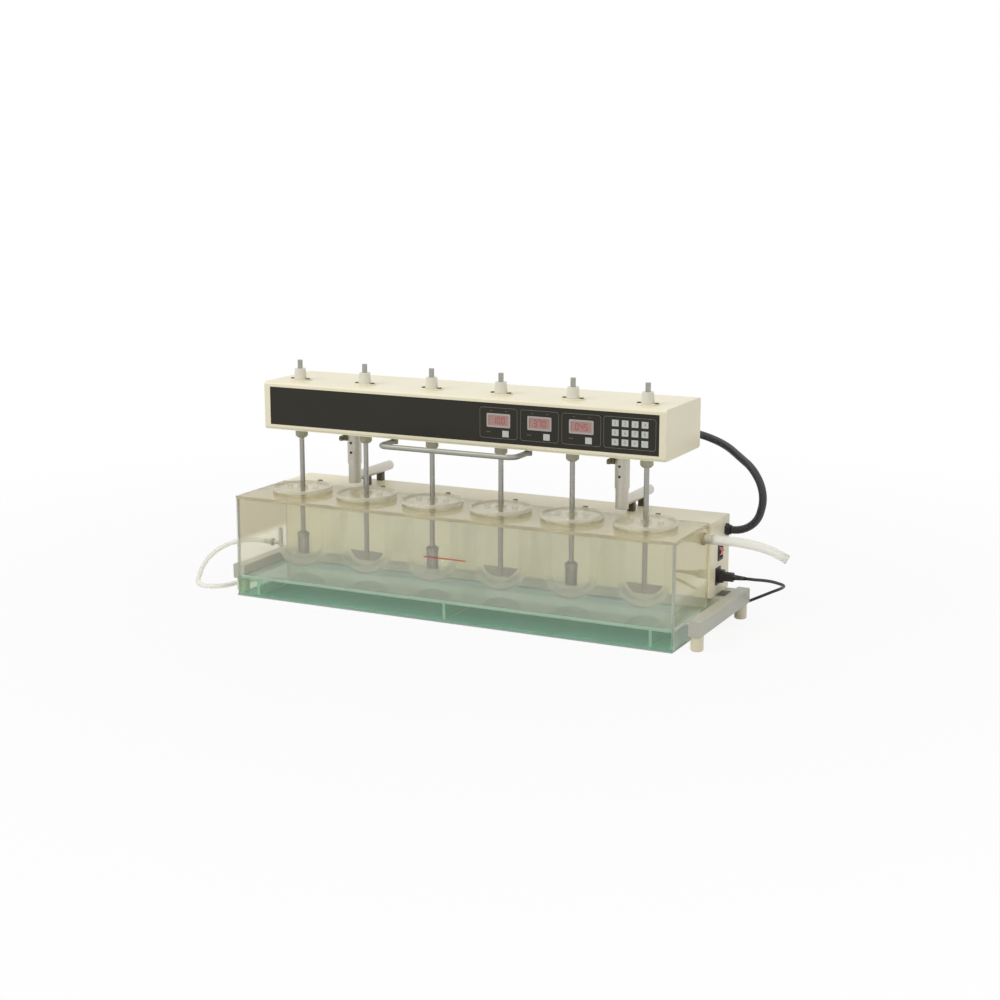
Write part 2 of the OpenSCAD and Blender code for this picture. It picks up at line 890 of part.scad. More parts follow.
module support_arms() placed() color("#b4b1a6") {
    tip = 3;
    for (x = [-column_x, column_x]) translate([x, column_y, 0]) {
        translate([0, 0, arm_z]) rotate([-90, 0, 0]) rotate_extrude() polygon([
            [0, 0], [arm_d / 2, 0], [arm_d / 2, arm_end - column_y - tip],
            [arm_d / 2 - tip, arm_end - column_y], [0, arm_end - column_y]
        ]);
        translate([0, 0, arm_z - boss_below]) cylinder(d = boss_d, h = boss_top - arm_z + boss_below);
        translate([0, 0, boss_top]) cylinder(d = rod_d, h = rod_top - boss_top);
    }
}

module saddle_blocks() placed() color("#2c2c2c") {
    for (x = [-column_x, column_x], y = saddle_ys) {
        difference() {
            box(
                [x - saddle_w / 2, y - saddle_w / 2, cabinet_top],
                [x + saddle_w / 2, y + saddle_w / 2, arm_z - arm_d / 4]
            );
            translate([x, y - saddle_w, arm_z]) rotate([-90, 0, 0])
                cylinder(r = arm_d / 2 + saddle_seat, h = 2 * saddle_w);
        }
    }
}

module column_sleeves() placed() color("#bdbab0") {
    for (x = [-column_x, column_x]) translate([x, column_y, 0]) difference() {
        union() {
            translate([0, 0, sleeve_bottom]) cylinder(d = sleeve_d, h = head_bottom - sleeve_bottom);
            translate([0, 0, head_bottom - sleeve_flange_thick])
                cylinder(d = sleeve_flange_d, h = sleeve_flange_thick);
        }
        translate([0, 0, sleeve_bottom - cut])
            cylinder(r = sleeve_bore_r, h = head_bottom - sleeve_bottom + 2 * cut);
        translate([0, 0, lock_z]) rotate([0, -90, 0]) cylinder(d = lock_d + 2 * run, h = sleeve_d);
    }
}

module lock_knob(x) placed() color("#8f8d86") {
    seat = sleeve_d / 2 + gap;
    translate([x, column_y, lock_z]) rotate([0, -90, 0]) {
        translate([0, 0, rod_d / 2 + gap]) cylinder(d = lock_d, h = seat - rod_d / 2);
        translate([0, 0, seat]) cylinder(d = lock_hub_d, h = lock_hub_len);
        translate([0, 0, seat + lock_hub_len - lock_wing_t]) linear_extrude(lock_wing_t)
            rounded_rect(lock_wing_h, lock_wing_len, lock_wing_r);
    }
}

function arc(middle, r, from, to, steps) = [
    for (i = [0 : steps]) let (a = from + (to - from) * i / steps) middle + r * [cos(a), sin(a), 0]
];

// A bent rod with its two ends in posts under the head
module handle() placed() color("#8a8a84") {
    leg_x = handle_len / 2;
    bend_x = leg_x - handle_bend;
    bend_y = handle_front_y + handle_bend;
    path = [
        [-leg_x, handle_post_y, handle_z],
        each arc([-bend_x, bend_y, handle_z], handle_bend, 180, 270, handle_steps),
        each arc([bend_x, bend_y, handle_z], handle_bend, 270, 360, handle_steps),
        [leg_x, handle_post_y, handle_z]
    ];
    tube(path, handle_d, handle_sides, [0, 0, 1]);
    for (x = [-leg_x, leg_x]) {
        translate([x, handle_post_y, handle_z - handle_d / 2])
            cylinder(d = handle_post_d, h = handle_drop + handle_d / 2);
    }
}

// Cabinet

module side_block(y, z, w, h, x0, x1) {
    box(
        [cabinet_right + x0, y - w / 2, z - h / 2],
        [cabinet_right + x1, y + w / 2, z + h / 2]
    );
}

module side_hole(y, z, w, h) {
    side_block(y, z, w, h, -cabinet_sheet - cut, cut);
}

module cabinet_shell() placed() color("#ece4cf") {
    edge = 4;
    half = cabinet_len / 2;
    mid_y = (cabinet_front_y + cabinet_back_y) / 2;
    difference() {
        translate([-half, mid_y, (cabinet_bottom + cabinet_top) / 2]) rotate([90, 0, 90])
            linear_extrude(cabinet_len) rounded_rect(cabinet_depth, cabinet_height, edge);
        box(
            [-half + cabinet_sheet, cabinet_front_y + cabinet_sheet, cabinet_bottom + cabinet_sheet],
            [half - cabinet_sheet, cabinet_back_y - cabinet_sheet, cabinet_top - cabinet_sheet]
        );
        side_hole(switch_y, switch_z, switch_w, switch_h);
        side_hole(inlet_y, inlet_z, inlet_w, inlet_h);
        translate([cabinet_right - cabinet_sheet - cut, cabinet_gland[0], cabinet_gland[1]])
            rotate([0, 90, 0]) cylinder(d = conduit_d, h = cabinet_sheet + 2 * cut);
    }
}

module cabinet_fittings() placed() color("#262626") {
    bezel = 2 * bezel_edge;
    frame = 2 * inlet_edge;
    difference() {
        union() {
            side_block(switch_y, switch_z, switch_w + bezel, switch_h + bezel, 0, bezel_lip);
            side_block(switch_y, switch_z, switch_w, switch_h, -bezel_depth, 0);
        }
        side_block(
            switch_y, switch_z, switch_w - bezel, switch_h - bezel,
            -bezel_depth + bezel_lip, bezel_lip + cut
        );
    }
    difference() {
        union() {
            side_block(inlet_y, inlet_z, inlet_w + frame, inlet_h + frame, 0, bezel_lip);
            side_block(inlet_y, inlet_z, inlet_w, inlet_h, -inlet_depth, 0);
        }
        side_block(inlet_y, inlet_z, socket_w, socket_h, -inlet_depth + bezel_lip, bezel_lip + cut);
    }
    translate([cabinet_right, cabinet_gland[0], cabinet_gland[1]]) rotate([0, 90, 0]) gland();
}

// A hexagon nut and a collar round the end of the conduit
module gland() {
    translate([0, 0, -cabinet_sheet - gland_thread])
        cylinder(d = conduit_d, h = cabinet_sheet + gland_thread);
    cylinder(d = gland_across, h = gland_hex, $fn = 6);
    cylinder(d = conduit_d + 2 * gland_wall, h = gland_nut);
}

module head_gland() placed() color("#262626") {
    translate([head_gland_place[0], head_back_y, head_gland_place[1]]) rotate([-90, 0, 0]) gland();
}

module power_rocker() placed() color("#b8403a") {
    half_h = switch_h / 2 - bezel_edge - rocker_clear;
    half_w = switch_w / 2 - bezel_edge - rocker_clear;
    axle = 4;
    translate([cabinet_right - axle, switch_y + half_w, switch_z]) rotate([90, 0, 0])
        rotate(rocker_tilt) linear_extrude(2 * half_w) intersection() {
            circle(half_h);
            polygon([
                [-axle, -half_h],
                [axle + rocker_edge, -half_h],
                [axle + rocker_ridge, 0],
                [axle + rocker_edge, half_h],
                [-axle, half_h]
            ]);
        }
}

module heater_pump() placed() color("#7d7f80") {
    base_z = cabinet_bottom + cabinet_sheet;
    mid_y = (cabinet_front_y + cabinet_back_y) / 2;
    pump_x = -300;
    pump_d = 62;
    pump_len = 95;
    heater_x = 120;
    heater_d = 54;
    heater_len = 260;
    foot_w = 40;
    foot_inset = 10;
    lift = 8;
    for (u = [[pump_x, pump_len, pump_d], [heater_x, heater_len, heater_d]]) {
        rod_x(u[0], u[0] + u[1], mid_y, base_z + lift + u[2] / 2, u[2]);
        box(
            [u[0] + foot_inset, mid_y - foot_w / 2, base_z],
            [u[0] + u[1] - foot_inset, mid_y + foot_w / 2, base_z + u[2] / 2]
        );
    }
}

// Cords and hoses

function unit(v) = v / norm(v);
function spline(a, b, c, d, t) =
    0.5 * (2 * b + (c - a) * t + (2 * a - 5 * b + 4 * c - d) * t * t + (3 * b - a - 3 * c + d) * t * t * t);
// A cord leaves each end straight and runs on one smooth curve between
function carried_on(end, next, after) = after - 2 * norm(after - next) * unit(next - end);
function cord_path(points, steps) =
    let (
        last = len(points) - 1,
        middle = [for (i = [1 : last - 1]) points[i]],
        held = [
            carried_on(points[0], points[1], points[2]),
            each middle,
            carried_on(points[last], points[last - 1], points[last - 2])
        ]
    ) [
        points[0],
        for (i = [1 : last - 2], s = [0 : steps - 1])
            spline(held[i - 1], held[i], held[i + 1], held[i + 2], s / steps),
        points[last - 1],
        points[last]
    ];
// Straight runs between corners, each corner rounded by its own radius
function corner_arc(a, b, c, r, steps) =
    let (
        u = unit(a - b),
        w = unit(c - b),
        half = acos(u * w) / 2,
        middle = b + unit(u + w) * r / sin(half),
        out = unit(b + u * r / tan(half) - middle)
    ) [
        for (i = [0 : steps])
            let (turn = (180 - 2 * half) * i / steps) middle + r * (cos(turn) * out - sin(turn) * u)
    ];
function bent_path(corners, radii, steps) = [
    corners[0],
    for (i = [1 : len(corners) - 2])
        each corner_arc(corners[i - 1], corners[i], corners[i + 1], radii[i - 1], steps),
    corners[len(corners) - 1]
];
function heading(path, i) = unit(path[min(i + 1, len(path) - 1)] - path[max(i - 1, 0)]);

// One closed tube along a path, with its rings square to the path
module tube(path, d, sides, guide) {
    count = len(path);
    rings = [
        for (i = [0 : count - 1])
            let (along = heading(path, i), side = unit(cross(guide, along)), up = cross(along, side))
            for (k = [0 : sides - 1])
                path[i] + d / 2 * (cos(360 * k / sides) * side + sin(360 * k / sides) * up)
    ];
    walls = [
        for (i = [0 : count - 2], k = [0 : sides - 1])
            let (a = i * sides + k, b = i * sides + (k + 1) % sides)
            each [[a, a + sides, b], [b, a + sides, b + sides]]
    ];
    first = [for (k = [1 : sides - 2]) [0, k, k + 1]];
    base = (count - 1) * sides;
    last = [for (k = [1 : sides - 2]) [base, base + k + 1, base + k]];
    polyhedron(rings, concat(walls, first, last), convexity = 10);
}

module bath_hoses() placed() color("#dcdcd0", 0.7) {
    tube(cord_path(overflow_points, 2), spout_d, 12, [0, 0, 1]);
    tube(cord_path(circulation_points, 3), inlet_d, 10, [0, 1, 0.2]);
}

module conduit() placed() color("#2d2d30") {
    tube(bent_path(conduit_corners, conduit_bends, 6), conduit_d, 12, [1, 1, 1]);
}

module mains_cord() placed() color("#1e1e1e") {
    tube(cord_path(lead_points, 2), lead_d, 8, [0, 0, 1]);
}

// The spare lead lies in two layers: it winds in on the bench and out again on top
coil_outer = coil_inner + coil_turns * coil_pitch;
coil_middle = coil_start + [-coil_run, coil_outer, 0];
function coil_radius(t) = coil_inner + coil_pitch * abs(coil_turns - t);
function coil_climb(t) = max(0, min(1, 2 * (t - coil_turns) + 0.5));
function coil_point(t) = coil_middle + [
    -coil_radius(t) * sin(360 * t),
    -coil_radius(t) * cos(360 * t),
    coil_pitch * coil_climb(t)
];
coil_path = [
    coil_start,
    for (i = [0 : 2 * coil_turns * rings_per_loop]) coil_point(i / rings_per_loop),
    coil_point(2 * coil_turns) - [coil_run, 0, 0],
    coil_point(2 * coil_turns) - [coil_tail, 0, 0]
];
coil_gaps = [
    for (i = [0 : len(coil_path) - 1], j = [i + rings_per_loop / 2 : 1 : len(coil_path) - 1])
        norm(coil_path[i] - coil_path[j]) - lead_d
];
echo(least_gap_in_the_coil = min(coil_gaps));

module cord_coil() placed() color("#1e1e1e") {
    tube(coil_path, lead_d, 6, [0, 0, 1]);
}

module cord_plugs() placed() color("#1b1b1b") {
    lead_end = coil_path[len(coil_path) - 1];
    start_x = bezel_lip - inlet_depth / 2;
    boot_x = lead_points[0][0] - boot_len;
    body = plug_len * plug_body;
    side_block(
        inlet_y, inlet_z, socket_w - 2 * plug_fit, socket_h - 2 * plug_fit,
        start_x, grip_from
    );
    translate([cabinet_right + grip_from, inlet_y, inlet_z]) rotate([0, 90, 0])
        linear_extrude(boot_x - cabinet_right - grip_from) rounded_rect(grip_h, grip_w, grip_round);
    translate([boot_x, inlet_y, inlet_z]) rotate([0, 90, 0])
        cylinder(d1 = boot_d, d2 = lead_d + boot_tip, h = boot_len);
    translate([lead_end[0] - plug_len, lead_end[1], lead_end[2]]) {
        rotate([0, 90, 0]) linear_extrude(body) rounded_rect(plug_h, plug_w, plug_round);
        translate([body, 0, 0]) rotate([0, 90, 0])
            cylinder(d1 = plug_h - plug_shoulder, d2 = lead_d + plug_tip, h = plug_len - body);
        for (y = [-pin_y, pin_y]) {
            box([-plug_pin_len, y - pin_w / 2, -pin_h / 2], [1, y + pin_w / 2, pin_h / 2]);
        }
    }
}

base_frame();
feet();
water_tank();
cover_plate();
vessels_left();
vessels_right();
cabinet_shell();
cabinet_fittings();
heater_pump();
support_arms();
saddle_blocks();
bath_hoses();
conduit();
cord_plugs();
mains_cord();
cord_coil();
power_rocker();
head_casing();
head_base_plate();
front_panel();
display_board();
handle();
column_sleeves();
head_gland();
drive_unit();
lock_knob(-column_x);  // lock_knob_left
lock_knob(column_x);  // lock_knob_right
for (n = [1 : vessel_count]) {
    spindle(n);
    shaft(n);
    lid(n);
}
for (i = [1 : display_count]) {
    key(display_key_place(i - 1));
}
for (row = [1 : key_rows], column = [1 : key_columns]) {
    key(key_place(row, column));
}
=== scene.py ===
# %% [markdown]
# # A bench dissolution tester
# The machine stirs six glass vessels that hang in a heated, clear bath. Its solids come from the imported CAD
# frame. This lesson dresses them: first the camera and the light, then the finishes and the cords, then the
# bath, the panel and the small parts. Meshes are in metres, and every piece but the conduit rides on one of
# the frame's bodies.

import math

import bmesh
import bpy
from mathutils import Matrix, Vector


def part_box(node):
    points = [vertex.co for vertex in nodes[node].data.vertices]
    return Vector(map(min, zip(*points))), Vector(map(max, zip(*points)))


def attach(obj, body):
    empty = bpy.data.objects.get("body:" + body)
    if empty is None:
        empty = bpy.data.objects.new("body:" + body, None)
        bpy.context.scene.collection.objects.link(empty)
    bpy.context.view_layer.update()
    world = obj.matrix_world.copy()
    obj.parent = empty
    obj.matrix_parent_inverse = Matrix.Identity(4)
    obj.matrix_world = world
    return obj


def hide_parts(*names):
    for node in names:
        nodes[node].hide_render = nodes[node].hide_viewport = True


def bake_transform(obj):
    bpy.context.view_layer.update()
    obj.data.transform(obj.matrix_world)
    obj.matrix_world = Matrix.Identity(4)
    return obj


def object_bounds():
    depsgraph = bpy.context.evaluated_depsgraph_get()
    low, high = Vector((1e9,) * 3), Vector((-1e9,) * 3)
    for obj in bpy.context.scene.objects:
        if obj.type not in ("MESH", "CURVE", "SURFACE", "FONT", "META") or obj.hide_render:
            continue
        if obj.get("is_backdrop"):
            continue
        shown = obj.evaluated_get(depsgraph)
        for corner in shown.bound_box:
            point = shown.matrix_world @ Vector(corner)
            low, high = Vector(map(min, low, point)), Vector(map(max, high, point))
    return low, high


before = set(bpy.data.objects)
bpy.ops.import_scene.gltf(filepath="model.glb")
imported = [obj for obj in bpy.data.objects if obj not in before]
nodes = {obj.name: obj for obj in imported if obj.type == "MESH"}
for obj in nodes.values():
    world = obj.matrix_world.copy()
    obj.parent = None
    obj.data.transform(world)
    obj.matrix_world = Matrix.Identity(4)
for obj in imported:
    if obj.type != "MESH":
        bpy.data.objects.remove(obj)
scene = bpy.context.scene
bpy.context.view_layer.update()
ROW_SHIFT = Vector((-0.010, -0.059, 0.0))
PITCH = 150
STATIONS = [(n - 2.5) * PITCH for n in range(6)]


def at(x, y, z):
    """A place given in millimetres from the row of shafts and the bench."""
    return Vector((x, y, z)) / 1000 + ROW_SHIFT


def placed(name, data):
    """A new object in the scene."""
    made = bpy.data.objects.new(name, data)
    scene.collection.objects.link(made)
    return made


# %% [markdown]
# ## Camera
# The camera's place, aim and lens come from a fit to the long straight edges in the picture. It stands in
# front and to the right, a little above the head, and the fit is for a square frame of 1000 by 1000 that
# holds the whole machine.

# %% Set the camera
EYE = Vector((1.5438, -3.0775, 0.9282))
AIM = Vector((-0.4312, 0.8789, -0.2038))
lens = bpy.data.cameras.new("picture_camera")
lens.lens = 64.03
lens.sensor_width = 36
camera = placed("picture_camera", lens)
camera.location = EYE
camera.rotation_euler = AIM.to_track_quat("-Z", "Y").to_euler()
scene.camera = camera
print("camera", lens.lens, "mm")

# %% [markdown]
# ## Light and floor
# A catalogue picture has a white ground and soft light from large lamps. The world is plain grey for the
# light that it gives and white where the camera, a mirror or a glass sees it. The floor mixes its lit
# surface with white in the same way, so it stays pale and still keeps the machine's shadow. Further out the
# white takes over, so no horizon shows.

# %% Light the set
scene.view_settings.view_transform = "Standard"


def node(tree, kind, values=(), **settings):
    """A new node with settings and input values; a short kind is one of the tree's own, such as Math."""
    made = tree.nodes.new(kind if "Node" in kind else tree.bl_idname.replace("Tree", kind))
    for key, value in settings.items():
        setattr(made, key, value)
    for key, value in dict(values).items():
        made.inputs[key].default_value = value
    return made


def link(tree, *wires):
    """Join sockets; a wire is a node, its output, the next node and its input."""
    for a, output, b, entry in wires:
        tree.links.new(a.outputs[output], b.inputs[entry])


def seen_directly(tree):
    """A node that gives 1 for rays from the camera, a reflection or a transmission, else 0."""
    path = node(tree, "LightPath")
    two, three = (node(tree, "Math", operation="MAXIMUM") for _ in range(2))
    link(tree, (path, "Is Camera Ray", two, 0), (path, "Is Glossy Ray", two, 1), (two, 0, three, 0),
         (path, "Is Transmission Ray", three, 1))
    return three


WORLD_LIGHT = 0.42
world = bpy.data.worlds.new("studio")
world.use_nodes = True
scene.world = world
tree = world.node_tree
ground = tree.nodes["Background"]
ground.inputs["Color"].default_value = (1, 1, 1, 1)
level = node(tree, "MapRange", {"To Min": WORLD_LIGHT, "To Max": 1.0})
link(tree, (seen_directly(tree), 0, level, "Value"), (level, "Result", ground, "Strength"))

LAMP_AIM = Vector((0, 0, 0.2))
SOFT_BOXES = {
    "key": ((-2.2, -3.0, 3.2), 2.6, 100),
    "top": ((0.3, 0.4, 3.4), 3.0, 24),
    "side": ((3.2, -0.6, 1.8), 2.2, 22),
}
for name, (place, width, watts) in SOFT_BOXES.items():
    lamp = bpy.data.lights.new(name + "_box", "AREA")
    lamp.size = width
    lamp.energy = watts
    box = placed(name + "_box", lamp)
    box.location = place
    box.rotation_euler = (LAMP_AIM - Vector(place)).to_track_quat("-Z", "Y").to_euler()
print("lamps", len(SOFT_BOXES))

# %% [markdown]
# The floor is a wide sheet a hair under the feet. It belongs to the stage and not to the machine.

# %% Lay the floor
FLOOR_HALF = 14.0
FLOOR_DROP = -0.0006
floor_mesh = bpy.data.meshes.new("floor")
corners = [(x * FLOOR_HALF, y * FLOOR_HALF, FLOOR_DROP) for x, y in ((-1, -1), (1, -1), (1, 1), (-1, 1))]
floor_mesh.from_pydata(corners, [], [(0, 1, 2, 3)])
floor = placed("floor", floor_mesh)
pale = bpy.data.materials.new("pale_floor")
pale.use_nodes = True
tree = pale.node_tree
lit = tree.nodes["Principled BSDF"]
lit.inputs["Base Color"].default_value = (0.70, 0.70, 0.69, 1)
lit.inputs["Roughness"].default_value = 0.9
glow = node(tree, "Emission", {"Strength": 1.0})
place = node(tree, "TexCoord")
reach = node(tree, "VectorMath", operation="LENGTH")
whiter = node(tree, "MapRange", {"From Min": 0.5, "From Max": 2.0, "To Min": 0.90, "To Max": 1.0})
share = node(tree, "Math", operation="MULTIPLY")
both = node(tree, "MixShader")
link(tree, (place, "Object", reach, 0), (reach, "Value", whiter, "Value"), (seen_directly(tree), 0, share, 0),
     (whiter, "Result", share, 1), (share, 0, both, "Fac"), (lit, 0, both, 1), (glow, 0, both, 2),
     (both, 0, tree.nodes["Material Output"], "Surface"))
floor_mesh.materials.append(pale)
floor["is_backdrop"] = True
print("floor", 2 * FLOOR_HALF, "m")

# %% [markdown]
# ## Finishes
# Real paint, plastic and steel are never one flat colour. One shader group, `grain`, gives a slow or fast
# change over the surface in object coordinates. Stretched along one axis it becomes the lines of turned or
# drawn steel. Each finish places the group with its own scale and lets it move the colour, the roughness
# and a faint bump.

# %% Build the grain group
grain = bpy.data.node_groups.new("grain", "ShaderNodeTree")
grain.interface.new_socket("Scale", in_out="INPUT", socket_type="NodeSocketVector")
grain.interface.new_socket("Contrast", in_out="INPUT", socket_type="NodeSocketFloat")
grain.interface.new_socket("Tone", in_out="OUTPUT", socket_type="NodeSocketFloat")
source = node(grain, "NodeGroupInput")
sink = node(grain, "NodeGroupOutput")
coords = node(grain, "TexCoord")
stretch = node(grain, "VectorMath", operation="MULTIPLY")
noise = node(grain, "TexNoise", {"Scale": 1.0, "Detail": 3.0})
centre = node(grain, "Math", {1: 0.5}, operation="SUBTRACT")
gain = node(grain, "Math", {2: 0.5}, operation="MULTIPLY_ADD", use_clamp=True)
link(grain, (coords, "Object", stretch, 0), (source, "Scale", stretch, 1), (stretch, 0, noise, "Vector"),
     (noise, "Fac", centre, 0), (centre, 0, gain, 0), (source, "Contrast", gain, 1), (gain, 0, sink, "Tone"))
print("group", grain.name, "nodes", len(grain.nodes))

# %% [markdown]
# A finish is written as two colours that the grain moves between, a range of roughness, a bump depth and
# the plain numbers of the shader. Colours are given as on a paint card, from 0 to 255, and turned to linear
# light here.

# %% Make the finishes
FINE_CONTRAST = 1.6
BUMP_DEPTH = 0.0004


def card(r, g, b):
    """A colour from 0 to 255 in linear light."""
    def linear(v):
        v = v / 255
        return v / 12.92 if v <= 0.04045 else ((v + 0.055) / 1.055) ** 2.4
    return (linear(r), linear(g), linear(b), 1.0)


def grain_node(tree, scale, contrast):
    return node(tree, "Group", {"Scale": scale, "Contrast": contrast}, node_tree=grain)


def finish(name, light, dark, rough, slow=(9, 9, 9), fine=(900, 900, 900), bump=0.0, contrast=1.0, **plain):
    """A material whose colour, roughness and bump follow the grain group; plain are fixed shader values."""
    made = bpy.data.materials.new(name)
    made.use_nodes = True
    tree = made.node_tree
    shader = tree.nodes["Principled BSDF"]
    for socket, value in plain.items():
        shader.inputs[socket.replace("_", " ")].default_value = value
    cloud = grain_node(tree, slow, contrast)
    mix = node(tree, "Mix", {"A": card(*dark), "B": card(*light)}, data_type="RGBA")
    dots = grain_node(tree, fine, FINE_CONTRAST)
    sheen = node(tree, "MapRange", {"To Min": rough[0], "To Max": rough[1]})
    link(tree, (cloud, "Tone", mix, "Factor"), (mix, "Result", shader, "Base Color"),
         (dots, "Tone", sheen, "Value"), (sheen, "Result", shader, "Roughness"))
    if bump:
        relief = node(tree, "Bump", {"Distance": BUMP_DEPTH, "Strength": bump})
        link(tree, (dots, "Tone", relief, "Height"), (relief, "Normal", shader, "Normal"))
    return made


cream_paint = finish("cream_paint", (241, 234, 207), (233, 225, 195), (0.30, 0.44), bump=0.10)
grey_paint = finish("grey_paint", (194, 193, 180), (178, 178, 166), (0.38, 0.52), bump=0.12)
cream_plastic = finish("cream_plastic", (236, 228, 204), (226, 216, 190), (0.45, 0.6), bump=0.15)
panel_black = finish("panel_black", (45, 42, 33), (37, 34, 27), (0.5, 0.62), fine=(1600, 1600, 1600),
                     bump=0.08, Specular_IOR_Level=0.25)
black_plastic = finish("black_plastic", (44, 43, 42), (32, 31, 30), (0.42, 0.58), bump=0.2)
black_rubber = finish("black_rubber", (54, 54, 57), (40, 40, 42), (0.34, 0.46), bump=0.12)
white_plastic = finish("white_plastic", (230, 227, 214), (219, 215, 200), (0.35, 0.5), bump=0.1)
key_grey = finish("key_grey", (200, 203, 193), (186, 190, 180), (0.4, 0.55), bump=0.12)
red_rocker = finish("red_rocker", (178, 46, 42), (154, 34, 32), (0.2, 0.3), Coat_Weight=0.3)
turned_steel = finish("turned_steel", (176, 175, 168), (140, 139, 133), (0.24, 0.40), slow=(60, 60, 900),
                      fine=(40, 40, 2600), bump=0.08, contrast=1.4, Metallic=1.0)
drawn_steel = finish("drawn_steel", (166, 165, 154), (142, 141, 131), (0.42, 0.56), slow=(20, 500, 500),
                     fine=(30, 1800, 1800), bump=0.06, contrast=1.4, Metallic=0.6)
satin_metal = finish("satin_metal", (222, 219, 208), (204, 200, 188), (0.34, 0.48), slow=(80, 80, 300),
                     fine=(700, 700, 1500), bump=0.08, Metallic=0.55)
dark_steel = finish("dark_steel", (92, 88, 80), (66, 62, 56), (0.3, 0.45), bump=0.1, Metallic=0.9)
olive_plastic = finish("olive_plastic", (146, 145, 116), (126, 125, 98), (0.4, 0.55), bump=0.15)
dark_olive = finish("dark_olive", (84, 82, 58), (68, 66, 46), (0.45, 0.6), bump=0.2)
tan_rubber = finish("tan_rubber", (168, 156, 130), (152, 140, 114), (0.5, 0.65), bump=0.2)
display_face = finish("display_face", (176, 140, 132), (164, 128, 121), (0.25, 0.35))
print("finishes", len(bpy.data.materials))

# %% [markdown]
# Clear parts let light through: acrylic sheet for the bath and the lids, thin glass for the vessels, and
# soft hose. Each clear finish turns plain transparent for rays on their way to a lamp, so the inside of the
# bath is lit as it is in a bright room and not black with the shadows of its own walls. Edges have finishes
# of their own: mint where a sheet was sawn, warm on the cover and faint on the walls. Some finishes change
# with the height above the bench. The end walls are painted darker and warmer above the middle, a painted
# shade of the shaded cabinet behind them. The front wall is greener at the bottom. The glass is made to show
# most at its base and its rim, a painted highlight. The white plastic is darker below the head and the steel
# warmer below the cover, both painted shade.

# %% Make the clear finishes


def clear_finish(name, light, dark, rough, passes, ior, lamp=None, **more):
    """A finish that passes a share of the light; rays to a lamp find it transparent, tinted by lamp."""
    made = finish(name, light, dark, rough, Transmission_Weight=passes, IOR=ior, **more)
    if lamp:
        tree = made.node_tree
        bare = node(tree, "BsdfTransparent", {"Color": card(*lamp)})
        path = node(tree, "LightPath")
        mix = node(tree, "MixShader")
        link(tree, (path, "Is Shadow Ray", mix, "Fac"), (tree.nodes["Principled BSDF"], "BSDF", mix, 1),
             (bare, "BSDF", mix, 2), (mix, "Shader", tree.nodes["Material Output"], "Surface"))
    return made


def height_ramp(tree, top, stops):
    """A ramp over the heights from the bench to top, with stops of height and colour."""
    place = node(tree, "TexCoord")
    split = node(tree, "SeparateXYZ")
    part = node(tree, "Math", {1: top}, operation="DIVIDE")
    ramp = node(tree, "ValToRGB")
    link(tree, (place, "Object", split, 0), (split, "Z", part, 0), (part, 0, ramp, "Fac"))
    marks = ramp.color_ramp.elements
    for mark, (height, colour) in ((marks[0], stops[0]), (marks[-1], stops[-1])):
        mark.position = height / top
        mark.color = colour
    for height, colour in stops[1:-1]:
        marks.new(height / top).color = colour
    return ramp


def tinted_by_height(made, top, *stops):
    """Multiply a finish's colour by a ramp of heights."""
    tree = made.node_tree
    shader = tree.nodes["Principled BSDF"]
    plain = shader.inputs["Base Color"].links[0].from_node
    tint = node(tree, "Mix", {"Factor": 1.0}, data_type="RGBA", blend_type="MULTIPLY")
    link(tree, (plain, "Result", tint, "A"), (height_ramp(tree, top, stops), "Color", tint, "B"),
         (tint, "Result", shader, "Base Color"))


def seen_by_height(made, top, *stops):
    """Let a finish fade with a ramp of heights, whose stops are shares."""
    tree = made.node_tree
    ramp = height_ramp(tree, top, [(height, (v, v, v, 1.0)) for height, v in stops])
    link(tree, (ramp, "Color", tree.nodes["Principled BSDF"], "Alpha"))


BATH_TOP, MACHINE_TOP = 0.25, 0.5
WHITE = (1.0, 1.0, 1.0, 1.0)
clear_acrylic = clear_finish(
    "clear_acrylic", (249, 251, 248), (246, 248, 244), (0, 0.03), 0.92, 1.45, (246, 244, 236))
left_acrylic = clear_finish(
    "left_acrylic", (252, 246, 228), (248, 241, 221), (0.02, 0.06), 0.86, 1.45, (240, 235, 220))
right_acrylic = clear_finish(
    "right_acrylic", (252, 251, 244), (249, 248, 240), (0, 0.03), 0.9, 1.25, (246, 244, 236))
floor_acrylic = clear_finish(
    "floor_acrylic", (158, 186, 170), (147, 177, 161), (0.03, 0.1), 0.72, 1.45, (200, 208, 194))
cover_acrylic = clear_finish(
    "cover_acrylic", (226, 220, 196), (219, 212, 186), (0.02, 0.08), 0.8, 1.2, (240, 236, 222))
lid_acrylic = clear_finish(
    "lid_acrylic", (240, 235, 216), (234, 228, 208), (0.04, 0.1), 0.82, 1.35, (246, 245, 238), Alpha=0.55)
# Painted highlight: the lid rims are frosted and painted brighter where they catch the light.
lid_rim_highlight = clear_finish(
    "lid_rim_highlight", (246, 242, 228), (238, 233, 217), (0.2, 0.35), 0.3, 1.4, (236, 234, 226), Alpha=0.8)
warm_edge = clear_finish(
    "warm_edge", (226, 219, 194), (216, 208, 182), (0.3, 0.5), 0.6, 1.3, (230, 226, 212))
sawn_edge = clear_finish(
    "sawn_edge", (200, 220, 206), (187, 209, 194), (0.3, 0.5), 0.4, 1.45, (226, 236, 222))
faint_edge = clear_finish(
    "faint_edge", (236, 236, 222), (226, 227, 212), (0.2, 0.35), 0.72, 1.45, (236, 236, 226))
vessel_glass = clear_finish(
    "vessel_glass", (252, 250, 242), (248, 246, 238), (0, 0.04), 0.9, 1.4, (250, 250, 246))
sea_green = clear_finish("sea_green", (98, 170, 152), (88, 158, 141), (0.08, 0.16), 0.2, 1.45)
